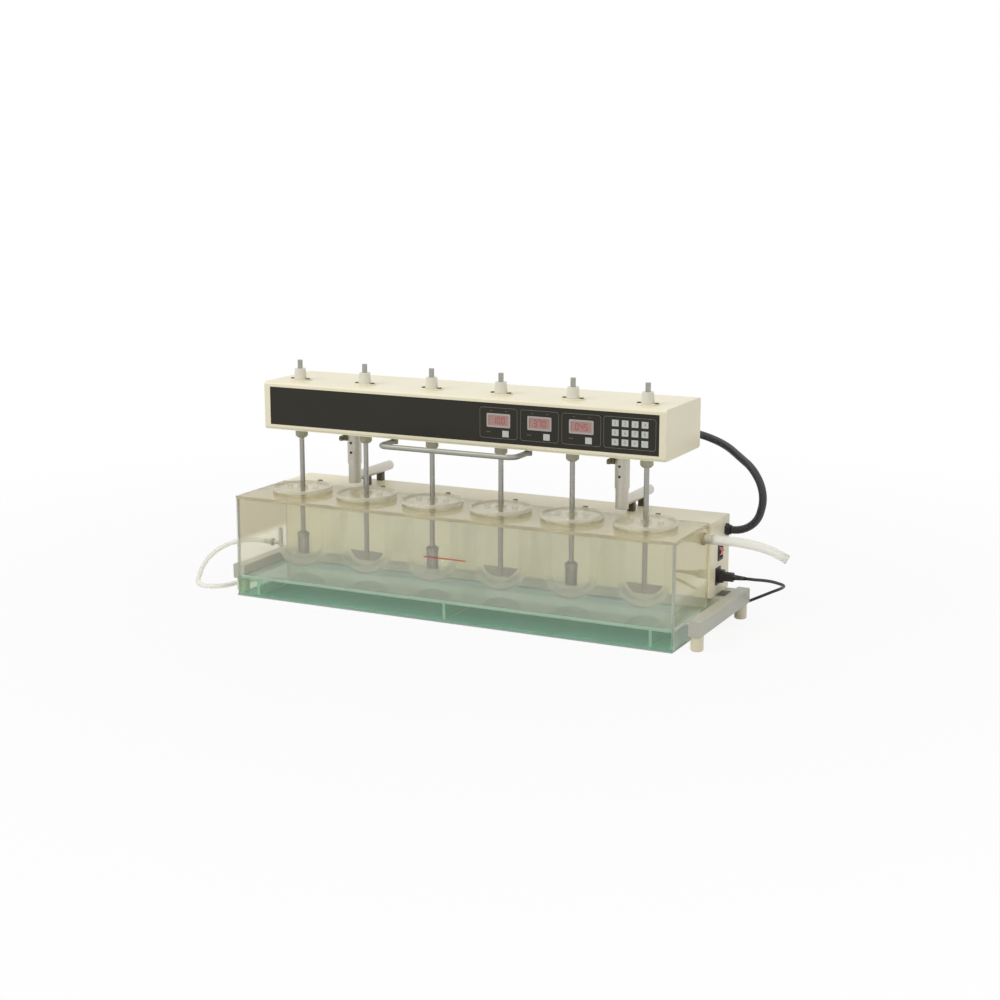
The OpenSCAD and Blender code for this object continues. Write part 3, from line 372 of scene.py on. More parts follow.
clear_hose = clear_finish(
    "clear_hose", (250, 249, 242), (247, 246, 238), (0.34, 0.4), 0.45, 1.2, (214, 214, 210),
    fine=(200, 200, 200), Alpha=0.6)
# Painted shade: the end walls are darker and warmer above the middle, for the shaded cabinet seen through
# them; the right wall only faintly.
tinted_by_height(left_acrylic, BATH_TOP, (0.106, WHITE), (0.120, card(204, 195, 170)))
tinted_by_height(right_acrylic, BATH_TOP, (0.106, WHITE), (0.120, card(246, 243, 236)))
tinted_by_height(clear_acrylic, BATH_TOP, (0.034, card(220, 244, 230)), (0.046, WHITE))
tinted_by_height(faint_edge, BATH_TOP, (0.030, card(226, 246, 240)), (0.110, WHITE))
# Painted shade: white plastic is darker below the head, for the collars in its shade; the spouts low down get
# it too.
tinted_by_height(white_plastic, MACHINE_TOP, (0.345, card(214, 214, 204)), (0.40, WHITE))
# Painted shade: the steel is warmer and darker below the cover, for the shafts and baskets in the shaded
# bath.
tinted_by_height(turned_steel, MACHINE_TOP, (0.19, card(230, 219, 192)), (0.22, WHITE))
# Painted highlight: the glass is more opaque and milky at its base and its rim, where the real glass shows
# bright.
seen_by_height(vessel_glass, BATH_TOP, (0.064, 0.8), (0.092, 0.06), (0.196, 0.06), (0.206, 0.5))
seen_by_height(faint_edge, BATH_TOP, (0.085, 0.9), (0.118, 0.4))
BOUNCES = 32
for kind in ("max_bounces", "transmission_bounces", "transparent_max_bounces"):
    setattr(scene.cycles, kind, BOUNCES)
print("clear finishes", len(bpy.data.materials))

# %% [markdown]
# ## Cords and hoses
# A cord is a fixed length of something flexible. Each route repeats the CAD model's own points: it leaves
# both ends straight and runs on one smooth curve between. The stiff conduit is made of straight runs and
# wide arcs.

# %% Find a cord's path


def carried_on(end, first, second):
    """A helper point that lets the curve leave first in line with the straight end."""
    return second - 2 * (second - first).length * (first - end).normalized()


def spline_point(a, b, c, d, t):
    square, cube = 2 * a - 5 * b + 4 * c - d, 3 * b - a - 3 * c + d
    return 0.5 * (2 * b + (c - a) * t + square * t ** 2 + cube * t ** 3)


def cord_path(points, steps):
    """Straight at both ends and one smooth curve through the points between."""
    held = [carried_on(*points[:3])] + points[1:-1] + [carried_on(*points[:-4:-1])]
    out = [points[0]]
    for i in range(1, len(held) - 2):
        out += [spline_point(*held[i - 1:i + 3], s / steps) for s in range(steps)]
    return out + points[-2:]


def corner_arc(a, b, c, radius, steps):
    """The arc that rounds corner b between a and c."""
    u, w = (a - b).normalized(), (c - b).normalized()
    half = u.angle(w) / 2
    middle = b + (u + w).normalized() * radius / math.sin(half)
    out = (b + u * radius / math.tan(half) - middle).normalized()
    turns = [(math.pi - 2 * half) * i / steps for i in range(steps + 1)]
    return [middle + radius * (math.cos(t) * out - math.sin(t) * u) for t in turns]


def bent_path(corners, radii, steps, spacing):
    """Straight runs with rounded corners, and no two points further apart than spacing."""
    knots = [corners[0]]
    for a, b, c, radius in zip(corners, corners[1:], corners[2:], radii):
        knots += corner_arc(a, b, c, radius, steps)
    knots.append(corners[-1])
    out = [knots[0]]
    for a, b in zip(knots, knots[1:]):
        parts = max(1, math.ceil((b - a).length / spacing))
        out += [a.lerp(b, k / parts) for k in range(1, parts + 1)]
    return out


CONDUIT_BENDS = (0.060, 0.060, 0.066, 0.174, 0.060)
conduit_corners = [at(*p) for p in (
    (484, 170, 176), (532, 170, 176), (557, 151, 258), (525, 163, 301), (467, 197, 330), (374, 240, 361),
    (374, 142.5, 361))]
conduit_path = bent_path(conduit_corners, CONDUIT_BENDS, steps=18, spacing=0.006)
print("conduit points", len(conduit_path))

# %% [markdown]
# The tube is swept as a mesh whose rings turn as little as possible from one to the next, so its skin has
# no twist.

# %% Sweep a tube


def path_length(path):
    return sum((b - a).length for a, b in zip(path, path[1:]))


def ring_frames(path):
    """The side and up directions of each ring, carried along the path without twist."""
    frames = []
    side = None
    for i in range(len(path)):
        along = (path[min(i + 1, len(path) - 1)] - path[max(i - 1, 0)]).normalized()
        if side is None:
            side = along.orthogonal().normalized()
        side = (side - along * side.dot(along)).normalized()
        frames.append((side, along.cross(side)))
    return frames


def add_ring(bm, middle, side, up, radius, sides):
    turns = [2 * math.pi * k / sides for k in range(sides)]
    return [bm.verts.new(middle + radius * (math.cos(t) * side + math.sin(t) * up)) for t in turns]


def bridge(bm, low, high, smooth=False):
    """Faces between two rings of points; a ring of one point closes to a tip."""
    count = max(len(low), len(high))
    for k in range(count):
        n = (k + 1) % count
        corners = (low[k % len(low)], low[n % len(low)], high[n % len(high)], high[k % len(high)])
        bm.faces.new(list(dict.fromkeys(corners))).smooth = smooth


def finish_mesh(bm):
    bmesh.ops.recalc_face_normals(bm, faces=bm.faces)
    mesh = bpy.data.meshes.new("part")
    bm.to_mesh(mesh)
    bm.free()
    return mesh


def tube_mesh(path, outer, sides, inner=0.0):
    """A closed tube along path; with an inner radius it is a hose with open ends."""
    bm = bmesh.new()
    frames = ring_frames(path)

    def skin(radius):
        rings = [add_ring(bm, point, side, up, radius, sides) for point, (side, up) in zip(path, frames)]
        for low, high in zip(rings, rings[1:]):
            bridge(bm, low, high, smooth=True)
        return rings[0], rings[-1]

    ends = skin(outer)
    if inner:
        for rim, hole in zip(ends, skin(inner)):
            bridge(bm, rim, hole)
    else:
        for rim in ends:
            bm.faces.new(rim)
    return finish_mesh(bm)


def new_piece(name, mesh, body, slot, *materials):
    """Put a mesh into the scene on a body, with its finish; the slot argument is not used."""
    made = placed(name, mesh)
    mesh.name = name
    for m in materials:
        mesh.materials.append(m)
    if body:
        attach(made, body)
    return made


print("rings", len(ring_frames(conduit_path)))

# %% [markdown]
# The black conduit carries the wires from the cabinet up to the head. Its lower end stays with the cabinet
# and its upper end rises with the head. Here it is swept once and rides on no body.

# %% Hang the conduit
CONDUIT = 0.015
conduit_mesh = tube_mesh(conduit_path, CONDUIT / 2, sides=28)
conduit = new_piece("wiring_conduit", conduit_mesh, None, "black_rubber", black_rubber)
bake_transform(conduit)
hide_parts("conduit")
print("conduit", round(path_length(conduit_path), 3), "m")

# %% [markdown]
# Two soft hoses serve the bath. The short one at the right is the overflow and ends in a plain cut. The
# thin one at the left brings the water round from the return spout to the supply elbow, and lies on the
# bench on its way.

# %% Lay the hoses
OVERFLOW, CIRCULATION = 0.018, 0.010
overflow_path = cord_path([at(*p) for p in (
    (491, 44, 183), (512, 44, 183), (540, 52, 181), (572, 64, 174), (602, 74, 163), (625, 80, 151))], steps=8)
overflow_mesh = tube_mesh(overflow_path, OVERFLOW / 2, sides=28, inner=0.0065)
overflow = new_piece("overflow_hose", overflow_mesh, "root", "clear_hose", clear_hose)
circulation_path = cord_path([at(*p) for p in (
    (-491, 30, 84), (-512, 30, 84), (-546, 24, 80), (-580, 12, 68), (-604, -4, 49), (-614, -22, 27),
    (-610, -42, 11), (-600, -60, 6), (-584, -80, 6), (-560, -89, 6), (-536, -80, 6), (-522, -58, 6),
    (-515, -32, 6), (-506, -4, 6), (-493, 18, 8), (-485, 35, 9), (-484, 44, 9), (-484, 50, 9))], steps=8)
circulation_mesh = tube_mesh(circulation_path, CIRCULATION / 2, sides=20, inner=0.0035)
circulation = new_piece("circulation_hose", circulation_mesh, "root", "clear_hose", clear_hose)
for hose, path, width, end in ((overflow, overflow_path, OVERFLOW, "bare"),
                               (circulation, circulation_path, CIRCULATION, "object")):
    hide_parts("bath_hoses")
    print(hose.name, round(path_length(path), 3), "m")

# %% [markdown]
# The mains lead leaves its connector, sags to the bench behind the cabinet and ends in a neat coil with the
# wall plug. The coil winds in on the bench and out again on top of itself, a little more than a lead's
# width apart.

# %% Lay the mains lead
LEAD = 0.006
COIL_INNER, COIL_PITCH, COIL_TURNS, COIL_STEPS = 25.0, 6.7, 3, 48
COIL_LOW = 3.4
lead_points = [at(*p) for p in (
    (530, 126, 94), (546, 126, 94), (562, 128, 94), (578, 134, 92), (590, 144, 87), (595, 157, 81),
    (591, 171, 74), (580, 183, 66), (564, 192, 57), (546, 199, 47), (526, 206, 36), (506, 213, 25),
    (484, 219, 14), (462, 224, 6), (440, 228, COIL_LOW), (424, 229, COIL_LOW), (410, 229, COIL_LOW))]
coil_middle = (400, 229 + COIL_INNER + COIL_TURNS * COIL_PITCH, COIL_LOW)


def coil_point(t):
    radius = COIL_INNER + COIL_PITCH * abs(COIL_TURNS - t)
    climb = max(0.0, min(1.0, 2 * (t - COIL_TURNS) + 0.5))
    turn = 2 * math.pi * t
    return at(coil_middle[0] - radius * math.sin(turn), coil_middle[1] - radius * math.cos(turn),
              coil_middle[2] + COIL_PITCH * climb)


coil_path = [coil_point(i / COIL_STEPS) for i in range(2 * COIL_TURNS * COIL_STEPS + 1)]
tail = [coil_path[-1] + Vector((-x, 0, 0)) for x in (0.010, 0.024)]
lead_path = cord_path(lead_points, steps=5) + coil_path + tail
lead = new_piece("mains_lead", tube_mesh(lead_path, LEAD / 2, sides=12), "root", "black_rubber", black_rubber)
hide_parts("mains_cord", "cord_coil")
print("lead", round(path_length(lead_path), 3), "m")

# %% [markdown]
# A small strap holds the coil together. It is a flat band round all turns, closed under the lead.

# %% Tie the coil
def band_mesh(middle, across, up, width, height, thick, length):
    """A closed rectangular band: across and up span it, and its length runs square to both."""
    run = across.cross(up)
    bm = bmesh.new()
    rings = []
    for w, h in ((width, height), (width - 2 * thick, height - 2 * thick)):
        for s in (-0.5, 0.5):
            rings.append([bm.verts.new(middle + across * x * w / 2 + up * z * h / 2 + run * s * length)
                          for x, z in ((-1, -1), (1, -1), (1, 1), (-1, 1))])
    for a, b in ((0, 1), (2, 3), (0, 2), (1, 3)):
        bridge(bm, rings[a], rings[b])
    bmesh.ops.recalc_face_normals(bm, faces=bm.faces)
    bmesh.ops.bevel(bm, geom=bm.edges[:], offset=thick * 0.4, segments=2, affect="EDGES")
    return finish_mesh(bm)


strap_x = coil_middle[0] + COIL_INNER + COIL_PITCH * COIL_TURNS / 2
strap_middle = at(strap_x, coil_middle[1], COIL_LOW + COIL_PITCH / 2)
strap_mesh = band_mesh(strap_middle, Vector((1, 0, 0)), Vector((0, 0, 1)), width=0.031, height=0.0134,
                       thick=0.0003, length=0.009)
strap = new_piece("coil_strap", strap_mesh, "root", "black_plastic", black_plastic)
print("strap faces", len(strap_mesh.polygons))

# %% [markdown]
# ## Finishes for the solids
# Most solids already have the right shape. Each node gets the finish of the real piece. The rim of each lid
# catches the light, so the faces round it get a brighter finish: a frosted rim with a painted highlight.

# %% Dress the solids
DRESS = {
    cream_paint: ["head_casing", "head_base_plate", "cabinet_shell"],
    grey_paint: ["base_frame"],
    cream_plastic: ["feet"],
    panel_black: ["front_panel"],
    display_face: ["display_board"],
    dark_olive: ["saddle_blocks"],
    black_plastic: ["cabinet_fittings", "head_gland", "drive_unit", "cord_plugs"],
    vessel_glass: ["vessels_left", "vessels_right"],
    lid_acrylic: [f"lid_{n}" for n in range(1, 7)],
    turned_steel: [f"shaft_{n}" for n in range(1, 7)],
    white_plastic: [f"spindle_{n}" for n in range(1, 7)],
    satin_metal: ["support_arms", "column_sleeves"],
    drawn_steel: ["handle", "heater_pump"],
    olive_plastic: ["lock_knob_left", "lock_knob_right"],
    red_rocker: ["power_rocker"],
    key_grey: [n for n in nodes if n.startswith(("key_", "display_key_"))],
}
HIGHLIGHT_RIM_SHARE = 0.97
for made, names in DRESS.items():
    for n in names:
        nodes[n].data.materials.clear()
        nodes[n].data.materials.append(made)
# Painted highlight: the outer rim faces of each lid get the bright rim finish.
for n, x in enumerate(STATIONS, 1):
    lid = nodes[f"lid_{n}"].data
    lid.materials.append(lid_rim_highlight)
    middle = at(x, 0, 0)
    reach = max((v.co - middle).xy.length for v in lid.vertices)
    for face in lid.polygons:
        if abs(face.normal.z) < 0.5 and (face.center - middle).xy.length > HIGHLIGHT_RIM_SHARE * reach:
            face.material_index = 1
print("dressed", sum(len(v) for v in DRESS.values()), "of", len(nodes))

# %% [markdown]
# ## The bath
# The bath is glued from sheets of clear acrylic: four walls, a raised floor, three webs under it and a sea
# green bottom plate. The CAD solid is one body, but light shows the glued edges, so the bath is made again
# sheet by sheet with a hair's gap between them. The narrow faces of each sheet get a finish of their own:
# faint on the walls, and the mint of a saw cut on the floor, the webs and the bottom plate.

# %% Cut the sheets
GLUE = 0.15
EDGE_ROUND = 0.0004


def cube_between(bm, low, high):
    """A plain block between two corners in millimetres; returns its points."""
    a, b = at(*low), at(*high)
    made = bmesh.ops.create_cube(bm, size=1.0)["verts"]
    for v in made:
        v.co = Vector((a[i] + (v.co[i] + 0.5) * (b - a)[i] for i in range(3)))
    return made


def add_sheet(bm, low, high, broad=0, edge=1):
    """One sheet between two corners in millimetres, with the numbers of its two finishes."""
    faces = {f for v in cube_between(bm, low, high) for f in v.link_faces}
    thin = min(range(3), key=lambda i: high[i] - low[i])
    for f in faces:
        f.material_index = broad if abs(f.normal[thin]) > 0.5 else edge
    edges = list({e for f in faces for e in f.edges})
    bmesh.ops.bevel(bm, geom=edges, offset=EDGE_ROUND, segments=2, affect="EDGES", material=edge)


def sheets_mesh(*sheets):
    bm = bmesh.new()
    for sheet in sheets:
        add_sheet(bm, *sheet)
    return finish_mesh(bm)


WALL, HALF, FRONT, BACK, FLOOR_LOW, FLOOR_TOP, COVER = 6, 471, -101, 81, 36, 42, 200
BOTTOM, BOTTOM_LIP, WEB_HALF = 4, 3, 3
WEB_X = (-425, 0, 425)
CLEAR, RIGHT, LEFT, FLOOR, SAWN, FAINT = range(6)
inner = HALF - WALL - GLUE
low_edge, top_edge, inner_front = BOTTOM + GLUE, COVER - GLUE, FRONT + WALL + GLUE
bath_sheets = [
    ((-HALF, FRONT, low_edge), (HALF, FRONT + WALL, top_edge), CLEAR, FAINT),
    ((-inner, BACK - WALL, FLOOR_TOP + GLUE), (inner, BACK, top_edge), CLEAR, FAINT),
    ((-inner, inner_front, FLOOR_LOW), (inner, BACK, FLOOR_TOP), FLOOR, SAWN),
    ((-HALF, inner_front, low_edge), (WALL - HALF, BACK, top_edge), LEFT, FAINT),
    ((HALF - WALL, inner_front, low_edge), (HALF, BACK, top_edge), RIGHT, FAINT),
]
for x in WEB_X:
    low, high = (x - WEB_HALF, inner_front, low_edge), (x + WEB_HALF, BACK, FLOOR_LOW - GLUE)
    bath_sheets.append((low, high, CLEAR, SAWN))
bath = new_piece("bath_sheets", sheets_mesh(*bath_sheets), "root", "clear_acrylic",
                 clear_acrylic, right_acrylic, left_acrylic, floor_acrylic, sawn_edge, faint_edge)
bottom_sheet = ((-HALF, FRONT - BOTTOM_LIP, 0), (HALF, BACK, BOTTOM))
bottom = new_piece("bath_bottom", sheets_mesh(bottom_sheet), "root", "clear_acrylic", sea_green, sawn_edge)
print("sheets", len(bath_sheets) + 1, "faces", len(bath.data.polygons))

# %% [markdown]
# Round parts are turned on a lathe, so one helper spins a profile of radius and height pairs about an axis.
# It makes the spouts here, and the screws later.

# %% Turn the spouts
def spin(bm, profile, place, axis, sides, closed):
    """Revolve (radius, height) pairs in millimetres about axis through place; zero radii close the ends."""
    side = axis.orthogonal().normalized()
    up = axis.cross(side)
    rings = []
    for radius, height in profile:
        middle = place + axis * height / 1000
        ring = add_ring(bm, middle, side, up, radius / 1000, sides) if radius else [bm.verts.new(middle)]
        rings.append(ring)
    for low, high in zip(rings, rings[1:] + rings[:closed]):
        bridge(bm, low, high)


def turned(jobs, sides=32, closed=False):
    """One mesh of several turned parts, each a profile, a place and an axis."""
    bm = bmesh.new()
    for profile, place, axis in jobs:
        spin(bm, profile, place, Vector(axis), sides, closed)
    mesh = finish_mesh(bm)
    mesh.shade_smooth()
    mesh.set_sharp_from_angle(angle=math.radians(35))
    return mesh


def spout_profile(outer, bore, length):
    return [(bore, 0), (outer, 0), (outer, length - CORNER), (outer - CORNER, length), (bore, length)]


def collar_profile(bore, outer, length):
    return [(bore, SEAT), (outer - CORNER, SEAT), (outer, SEAT + CORNER), (outer, length - CORNER),
            (outer - CORNER, length), (bore, length)]


CORNER, SEAT = 0.6, 0.1
RIGHTWARD, LEFTWARD, UPWARD = (1, 0, 0), (-1, 0, 0), (0, 0, 1)
overflow_place, return_place = at(HALF, 44, 183), at(-HALF, 30, 84)
spout_jobs = [(spout_profile(9, 5.4, 20), overflow_place, RIGHTWARD),
              (spout_profile(5, 3, 20), return_place, LEFTWARD)]
washer_jobs = [(collar_profile(9.1, 12, 5), overflow_place, RIGHTWARD),
               (collar_profile(5.1, 8, 5), return_place, LEFTWARD)]
nozzle_jobs = [(spout_profile(4.5, 3, 40), at(-450, 30, 76), UPWARD),
               (spout_profile(4, 2.5, 10.4), at(-464.9, 30, 84), RIGHTWARD)]
spouts, washers, nozzle = (
    new_piece(name, turned(jobs, closed=True), "root", slot, coat) for name, jobs, slot, coat in (
        ("bath_spouts", spout_jobs, "clear_acrylic", white_plastic),
        ("spout_washers", washer_jobs, "black_plastic", tan_rubber),
        ("return_nozzle", nozzle_jobs, "clear_hose", white_plastic)))
elbow_corners = [at(*p) for p in ((-471, 66, 9), (-484, 66, 9), (-484, 50, 9))]
elbow_path = bent_path(elbow_corners, (0.007,), steps=8, spacing=0.004)
elbow_mesh = tube_mesh(elbow_path, CIRCULATION / 2, sides=20, inner=0.003)
elbow = new_piece("supply_elbow", elbow_mesh, "root", "clear_acrylic", lid_acrylic)
for part in (bath, bottom, spouts, washers, nozzle, elbow):
    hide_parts("water_tank")
print("spouts", len(spout_jobs), "and an elbow")

# %% [markdown]
# The cover plate is one sheet with six round holes. A boolean cuts the holes, and every face that does not
# look up or down gets the finish of a warm edge.

# %% Cut the cover
def worked_mesh(holder):
    """The plain mesh of an object with its modifiers or its text worked out; the object goes."""
    bpy.context.view_layer.update()
    mesh = bpy.data.meshes.new_from_object(holder.evaluated_get(bpy.context.evaluated_depsgraph_get()))
    bpy.data.objects.remove(holder)
    return mesh


def cut_away(mesh, cutter):
    """The mesh minus the cutter, as a new mesh."""
    body, tool = placed("blank", mesh), placed("tool", cutter)
    step = body.modifiers.new("cut", "BOOLEAN")
    step.object = tool
    step.solver = "EXACT"
    result = worked_mesh(body)
    bpy.data.objects.remove(tool)
    return result


HOLE, CUT = 54.5, 9
hole_profile = [(0, -CUT), (HOLE, -CUT), (HOLE, CUT), (0, CUT)]
hole_jobs = [(hole_profile, at(x, 0, COVER + WALL / 2), UPWARD) for x in STATIONS]
cover_blank = sheets_mesh(((-HALF, FRONT, COVER), (HALF, BACK, COVER + WALL)))
cover_mesh = cut_away(cover_blank, turned(hole_jobs, sides=96))
cover_mesh.materials.clear()
for face in cover_mesh.polygons:
    face.material_index = 0 if abs(face.normal.z) > 0.9 else 1
cover = new_piece("cover_sheet", cover_mesh, "root", "clear_acrylic", cover_acrylic, warm_edge)
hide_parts("cover_plate")
print("cover faces", len(cover_mesh.polygons))

# %% [markdown]
# A short red line on the front wall shows how far to fill the bath.

# %% Mark the water level
red_ink = finish("red_ink", (196, 62, 52), (178, 48, 42), (0.4, 0.5))
LEVEL = 126.2
level_line = ((-41, FRONT - 0.3, LEVEL - 1), (50, FRONT - 0.05, LEVEL + 1))
new_piece("level_mark", sheets_mesh(level_line), "root", "red_plastic", red_ink, red_ink)
print("level mark at", LEVEL, "mm")

# %% [markdown]
# ## Displays
# Each display is a pale window with red glowing digits. A digit is seven small bars, and the bars that are
# lit spell a speed, a temperature or a time. Thin printed frames stand round the displays and the keypad.

# %% Show the digits
PANEL_FACE = -47.5
PANEL_Z = 386.75
DISPLAY_X = (93, 178, 263)
LIT = {"0": "abcdef", "1": "bc", "3": "abcdg", "4": "bcfg", "5": "acdfg", "7": "abc"}
BARS = {"a": (0, 1, 1), "b": (1, 0.5, 0), "c": (1, -0.5, 0), "d": (0, -1, 1), "e": (-1, -0.5, 0),
        "f": (-1, 0.5, 0), "g": (0, 0, 1)}
DIGIT_W, DIGIT_H, DIGIT_STEP, BAR = 5.6, 11.5, 9.2, 1.5
BAR_FRONT, BAR_BACK = PANEL_FACE + 0.12, PANEL_FACE + 0.38
WINDOW_Z = PANEL_Z + 5


def bar_boxes(text, x, z):
    """The lit bars of a short number, centred on a window."""
    boxes = []
    for i, figure in enumerate(text):
        middle = x + (i - (len(text) - 1) / 2) * DIGIT_STEP
        for name in LIT[figure]:
            dx, dz, flat = BARS[name]
            w, h = (DIGIT_W - BAR, BAR) if flat else (BAR, DIGIT_H / 2 - BAR)
            cx, cz = middle + dx * DIGIT_W / 2, z + dz * DIGIT_H / 2
            boxes.append(((cx - w / 2, BAR_FRONT, cz - h / 2), (cx + w / 2, BAR_BACK, cz + h / 2)))
    return boxes


def boxes_mesh(boxes, bevel=0.0002):
    bm = bmesh.new()
    for low, high in boxes:
        cube_between(bm, low, high)
    bmesh.ops.bevel(bm, geom=bm.edges[:], offset=bevel, segments=2, affect="EDGES")
    return finish_mesh(bm)


glowing_red = finish("glowing_red", (166, 70, 66), (150, 56, 53), (0.3, 0.4),
                     Emission_Color=card(170, 50, 48), Emission_Strength=0.12)
lit_bars = [box for text, x in zip(("100", "370", "045"), DISPLAY_X) for box in bar_boxes(text, x, WINDOW_Z)]
new_piece("display_digits", boxes_mesh(lit_bars), "head", "display_red", glowing_red)
print("bars", len(lit_bars))

# %% [markdown]
# A printed frame is a flat ribbon that follows a rectangle with round corners. Geometry Nodes draw it: a
# rectangle curve is rounded, a thin profile is swept along it, and the result gets its ink.

# %% Build the ribbon frame tree
def input_id(tree, name):
    """The identifier of a named input, which is what a modifier's value is set by."""
    return next(i.identifier for i in tree.interface.items_tree if i.name == name and i.in_out == "INPUT")


def plain_result(mesh, tree, values):
    """Run a node tree on a mesh and return the plain mesh that comes out."""
    holder = placed("holder", mesh)
    step = holder.modifiers.new("nodes", "NODES")
    step.node_group = tree
    for key, value in values.items():
        step[input_id(tree, key)] = value
    return worked_mesh(holder)


def node_tree(name, **inputs):
    """A Geometry Nodes tree with these inputs after its geometry, and its two end nodes."""
    tree = bpy.data.node_groups.new(name, "GeometryNodeTree")
    for label, kind in {"Geometry": "Geometry", **inputs}.items():
        tree.interface.new_socket(label, in_out="INPUT", socket_type="NodeSocket" + kind)
    tree.interface.new_socket("Geometry", in_out="OUTPUT", socket_type="NodeSocketGeometry")
    return tree, node(tree, "NodeGroupInput"), node(tree, "NodeGroupOutput")


ribbon, given, given_out = node_tree(
    "ribbon_frame", Width="Float", Height="Float", Corner="Float", Line="Float", Ink="Material")
outline = node(ribbon, "CurvePrimitiveQuadrilateral")
rounding = node(ribbon, "FilletCurve", {"Count": 6}, mode="POLY")
profile = node(ribbon, "CurvePrimitiveCircle", {"Resolution": 4})
sweep = node(ribbon, "CurveToMesh")
places = node(ribbon, "InstanceOnPoints")
real = node(ribbon, "RealizeInstances")
inked = node(ribbon, "SetMaterial")
link(ribbon, (given, "Width", outline, "Width"), (given, "Height", outline, "Height"),
     (given, "Corner", rounding, "Radius"), (given, "Line", profile, "Radius"),
     (given, "Ink", inked, "Material"), (given, "Geometry", places, "Points"),
     (outline, "Curve", rounding, "Curve"), (rounding, "Curve", sweep, "Curve"),
     (profile, "Curve", sweep, "Profile Curve"), (sweep, "Mesh", places, "Instance"),
     (places, "Instances", real, "Geometry"), (real, "Geometry", inked, "Geometry"),
     (inked, "Geometry", given_out, "Geometry"))
print("tree", ribbon.name, "nodes", len(ribbon.nodes))

# %% [markdown]
# One frame stands round each display with its key, and one round the keypad.

# %% Print the frames
def points_mesh(points):
    mesh = bpy.data.meshes.new("points")
    mesh.from_pydata([tuple(p) for p in points], [], [])
    return mesh


UPRIGHT = Matrix.Rotation(math.radians(90), 4, "X")
frame_ink = finish("frame_ink", (120, 118, 108), (106, 104, 95), (0.45, 0.6))


def printed_frames(name, points, width, height, ink):
    """Ribbon frames on the panel face, drawn flat by the tree and stood upright."""
    flat = points_mesh([UPRIGHT.inverted() @ p for p in points])
    mesh = plain_result(flat, ribbon, {
        "Width": width / 1000, "Height": height / 1000, "Corner": 0.005, "Line": 0.0005, "Ink": ink})
    mesh.transform(UPRIGHT)
    return new_piece(name, mesh, "head", "panel_black")


INK_FACE = PANEL_FACE - 0.1
KEYPAD_X, FRAME_H = 359, 58
display_places = [at(x, INK_FACE, PANEL_Z) for x in DISPLAY_X]
display_frames = printed_frames("display_frames", display_places, 78, FRAME_H, frame_ink)
keypad_frame = printed_frames("keypad_frame", [at(KEYPAD_X, INK_FACE, PANEL_Z)], 102, FRAME_H, frame_ink)
print("frames", len(display_frames.data.polygons), len(keypad_frame.data.polygons))

# %% [markdown]
# ## Fasteners
# The machine has many small screws of a few kinds. One tree sets out copies of a fastener on a list of
# points, so each kind is modelled once. The copies are made real and become one mesh for each body.

# %% Build the setting-out tree
setting, given, given_out = node_tree("set_out", Fastener="Object", Finish="Material")
pick = node(setting, "ObjectInfo")
copies = node(setting, "InstanceOnPoints")
real = node(setting, "RealizeInstances")
coated = node(setting, "SetMaterial")
link(setting, (given, "Fastener", pick, "Object"), (given, "Geometry", copies, "Points"),
     (pick, "Geometry", copies, "Instance"), (copies, "Instances", real, "Geometry"),
     (real, "Geometry", coated, "Geometry"), (given, "Finish", coated, "Material"),
     (coated, "Geometry", given_out, "Geometry"))


def set_out(name, pattern, points, body, slot, material):
    """Copies of a pattern mesh, modelled at the origin, at all points on one body."""
    master = placed("pattern", pattern)
    mesh = plain_result(points_mesh(points), setting, {"Fastener": master, "Finish": material})
    bpy.data.objects.remove(master)
    return new_piece(name, mesh, body, slot)


print("tree", setting.name, "nodes", len(setting.nodes))

# %% [markdown]
# Each display window has a pale bezel with round corners that stands a little proud of the panel. It is
# modelled once as a ring between two rounded rectangles. Short printed marks beside the window show which
# value it gives.

# %% Fit the display bezels
BREAK = 0.3


def rounded_loop(width, height, radius, steps=5):
    """Points round a rectangle with round corners, centred on the origin, in millimetres."""
    loop = []
    for quarter, (sx, sz) in enumerate(((1, 1), (-1, 1), (-1, -1), (1, -1))):
        for k in range(steps + 1):
            turn = math.pi / 2 * (quarter + k / steps)
            loop.append((sx * (width / 2 - radius) + radius * math.cos(turn),
                         sz * (height / 2 - radius) + radius * math.sin(turn)))
    return loop


def bezel_mesh(width, height, corner, border, proud):
    """A flat ring whose front looks to -Y, with its front edges broken."""
    bm = bmesh.new()
    rings = []
    for inset, lift in ((0, 0), (0, proud - BREAK), (BREAK, proud), (border - BREAK, proud),
                        (border, proud - BREAK), (border, 0)):
        loop = rounded_loop(width - 2 * inset, height - 2 * inset, max(corner - inset, BREAK))
        rings.append([bm.verts.new(Vector((x, -lift, z)) / 1000) for x, z in loop])
    for low, high in zip(rings, rings[1:] + rings[:1]):
        bridge(bm, low, high)
    return finish_mesh(bm)


window_grey = finish("window_grey", (182, 170, 164), (172, 160, 154), (0.35, 0.5), bump=0.1)
mark_ink = finish("mark_ink", (96, 82, 74), (84, 70, 64), (0.45, 0.6))
SEAT_FACE = PANEL_FACE - 0.02
bezel = bezel_mesh(width=49.5, height=26.5, corner=2, border=4, proud=0.8)
bezel_points = [at(x, SEAT_FACE, WINDOW_Z) for x in DISPLAY_X]
set_out("display_bezels", bezel, bezel_points, "head", "key_grey", window_grey)
marks = []
for x in DISPLAY_X:
    for dx, dz, w, h in ((-15, 23.5, 5, 1.4), (16, 23.5, 5, 1.4), (-21, -17.5, 9, 1.8)):
        low = (x + dx - w / 2, PANEL_FACE - 0.2, PANEL_Z + dz - h / 2)
        marks.append((low, (x + dx + w / 2, SEAT_FACE, PANEL_Z + dz + h / 2)))
new_piece("printed_marks", boxes_mesh(marks, bevel=0.00005), "head", "panel_black", mark_ink)
print("bezels", len(bezel_points), "marks", len(marks))

# %% [markdown]
# Slotted screws hold the bearing flanges, the sleeves and the casings. The cover has a small upright pin at
# each hole.

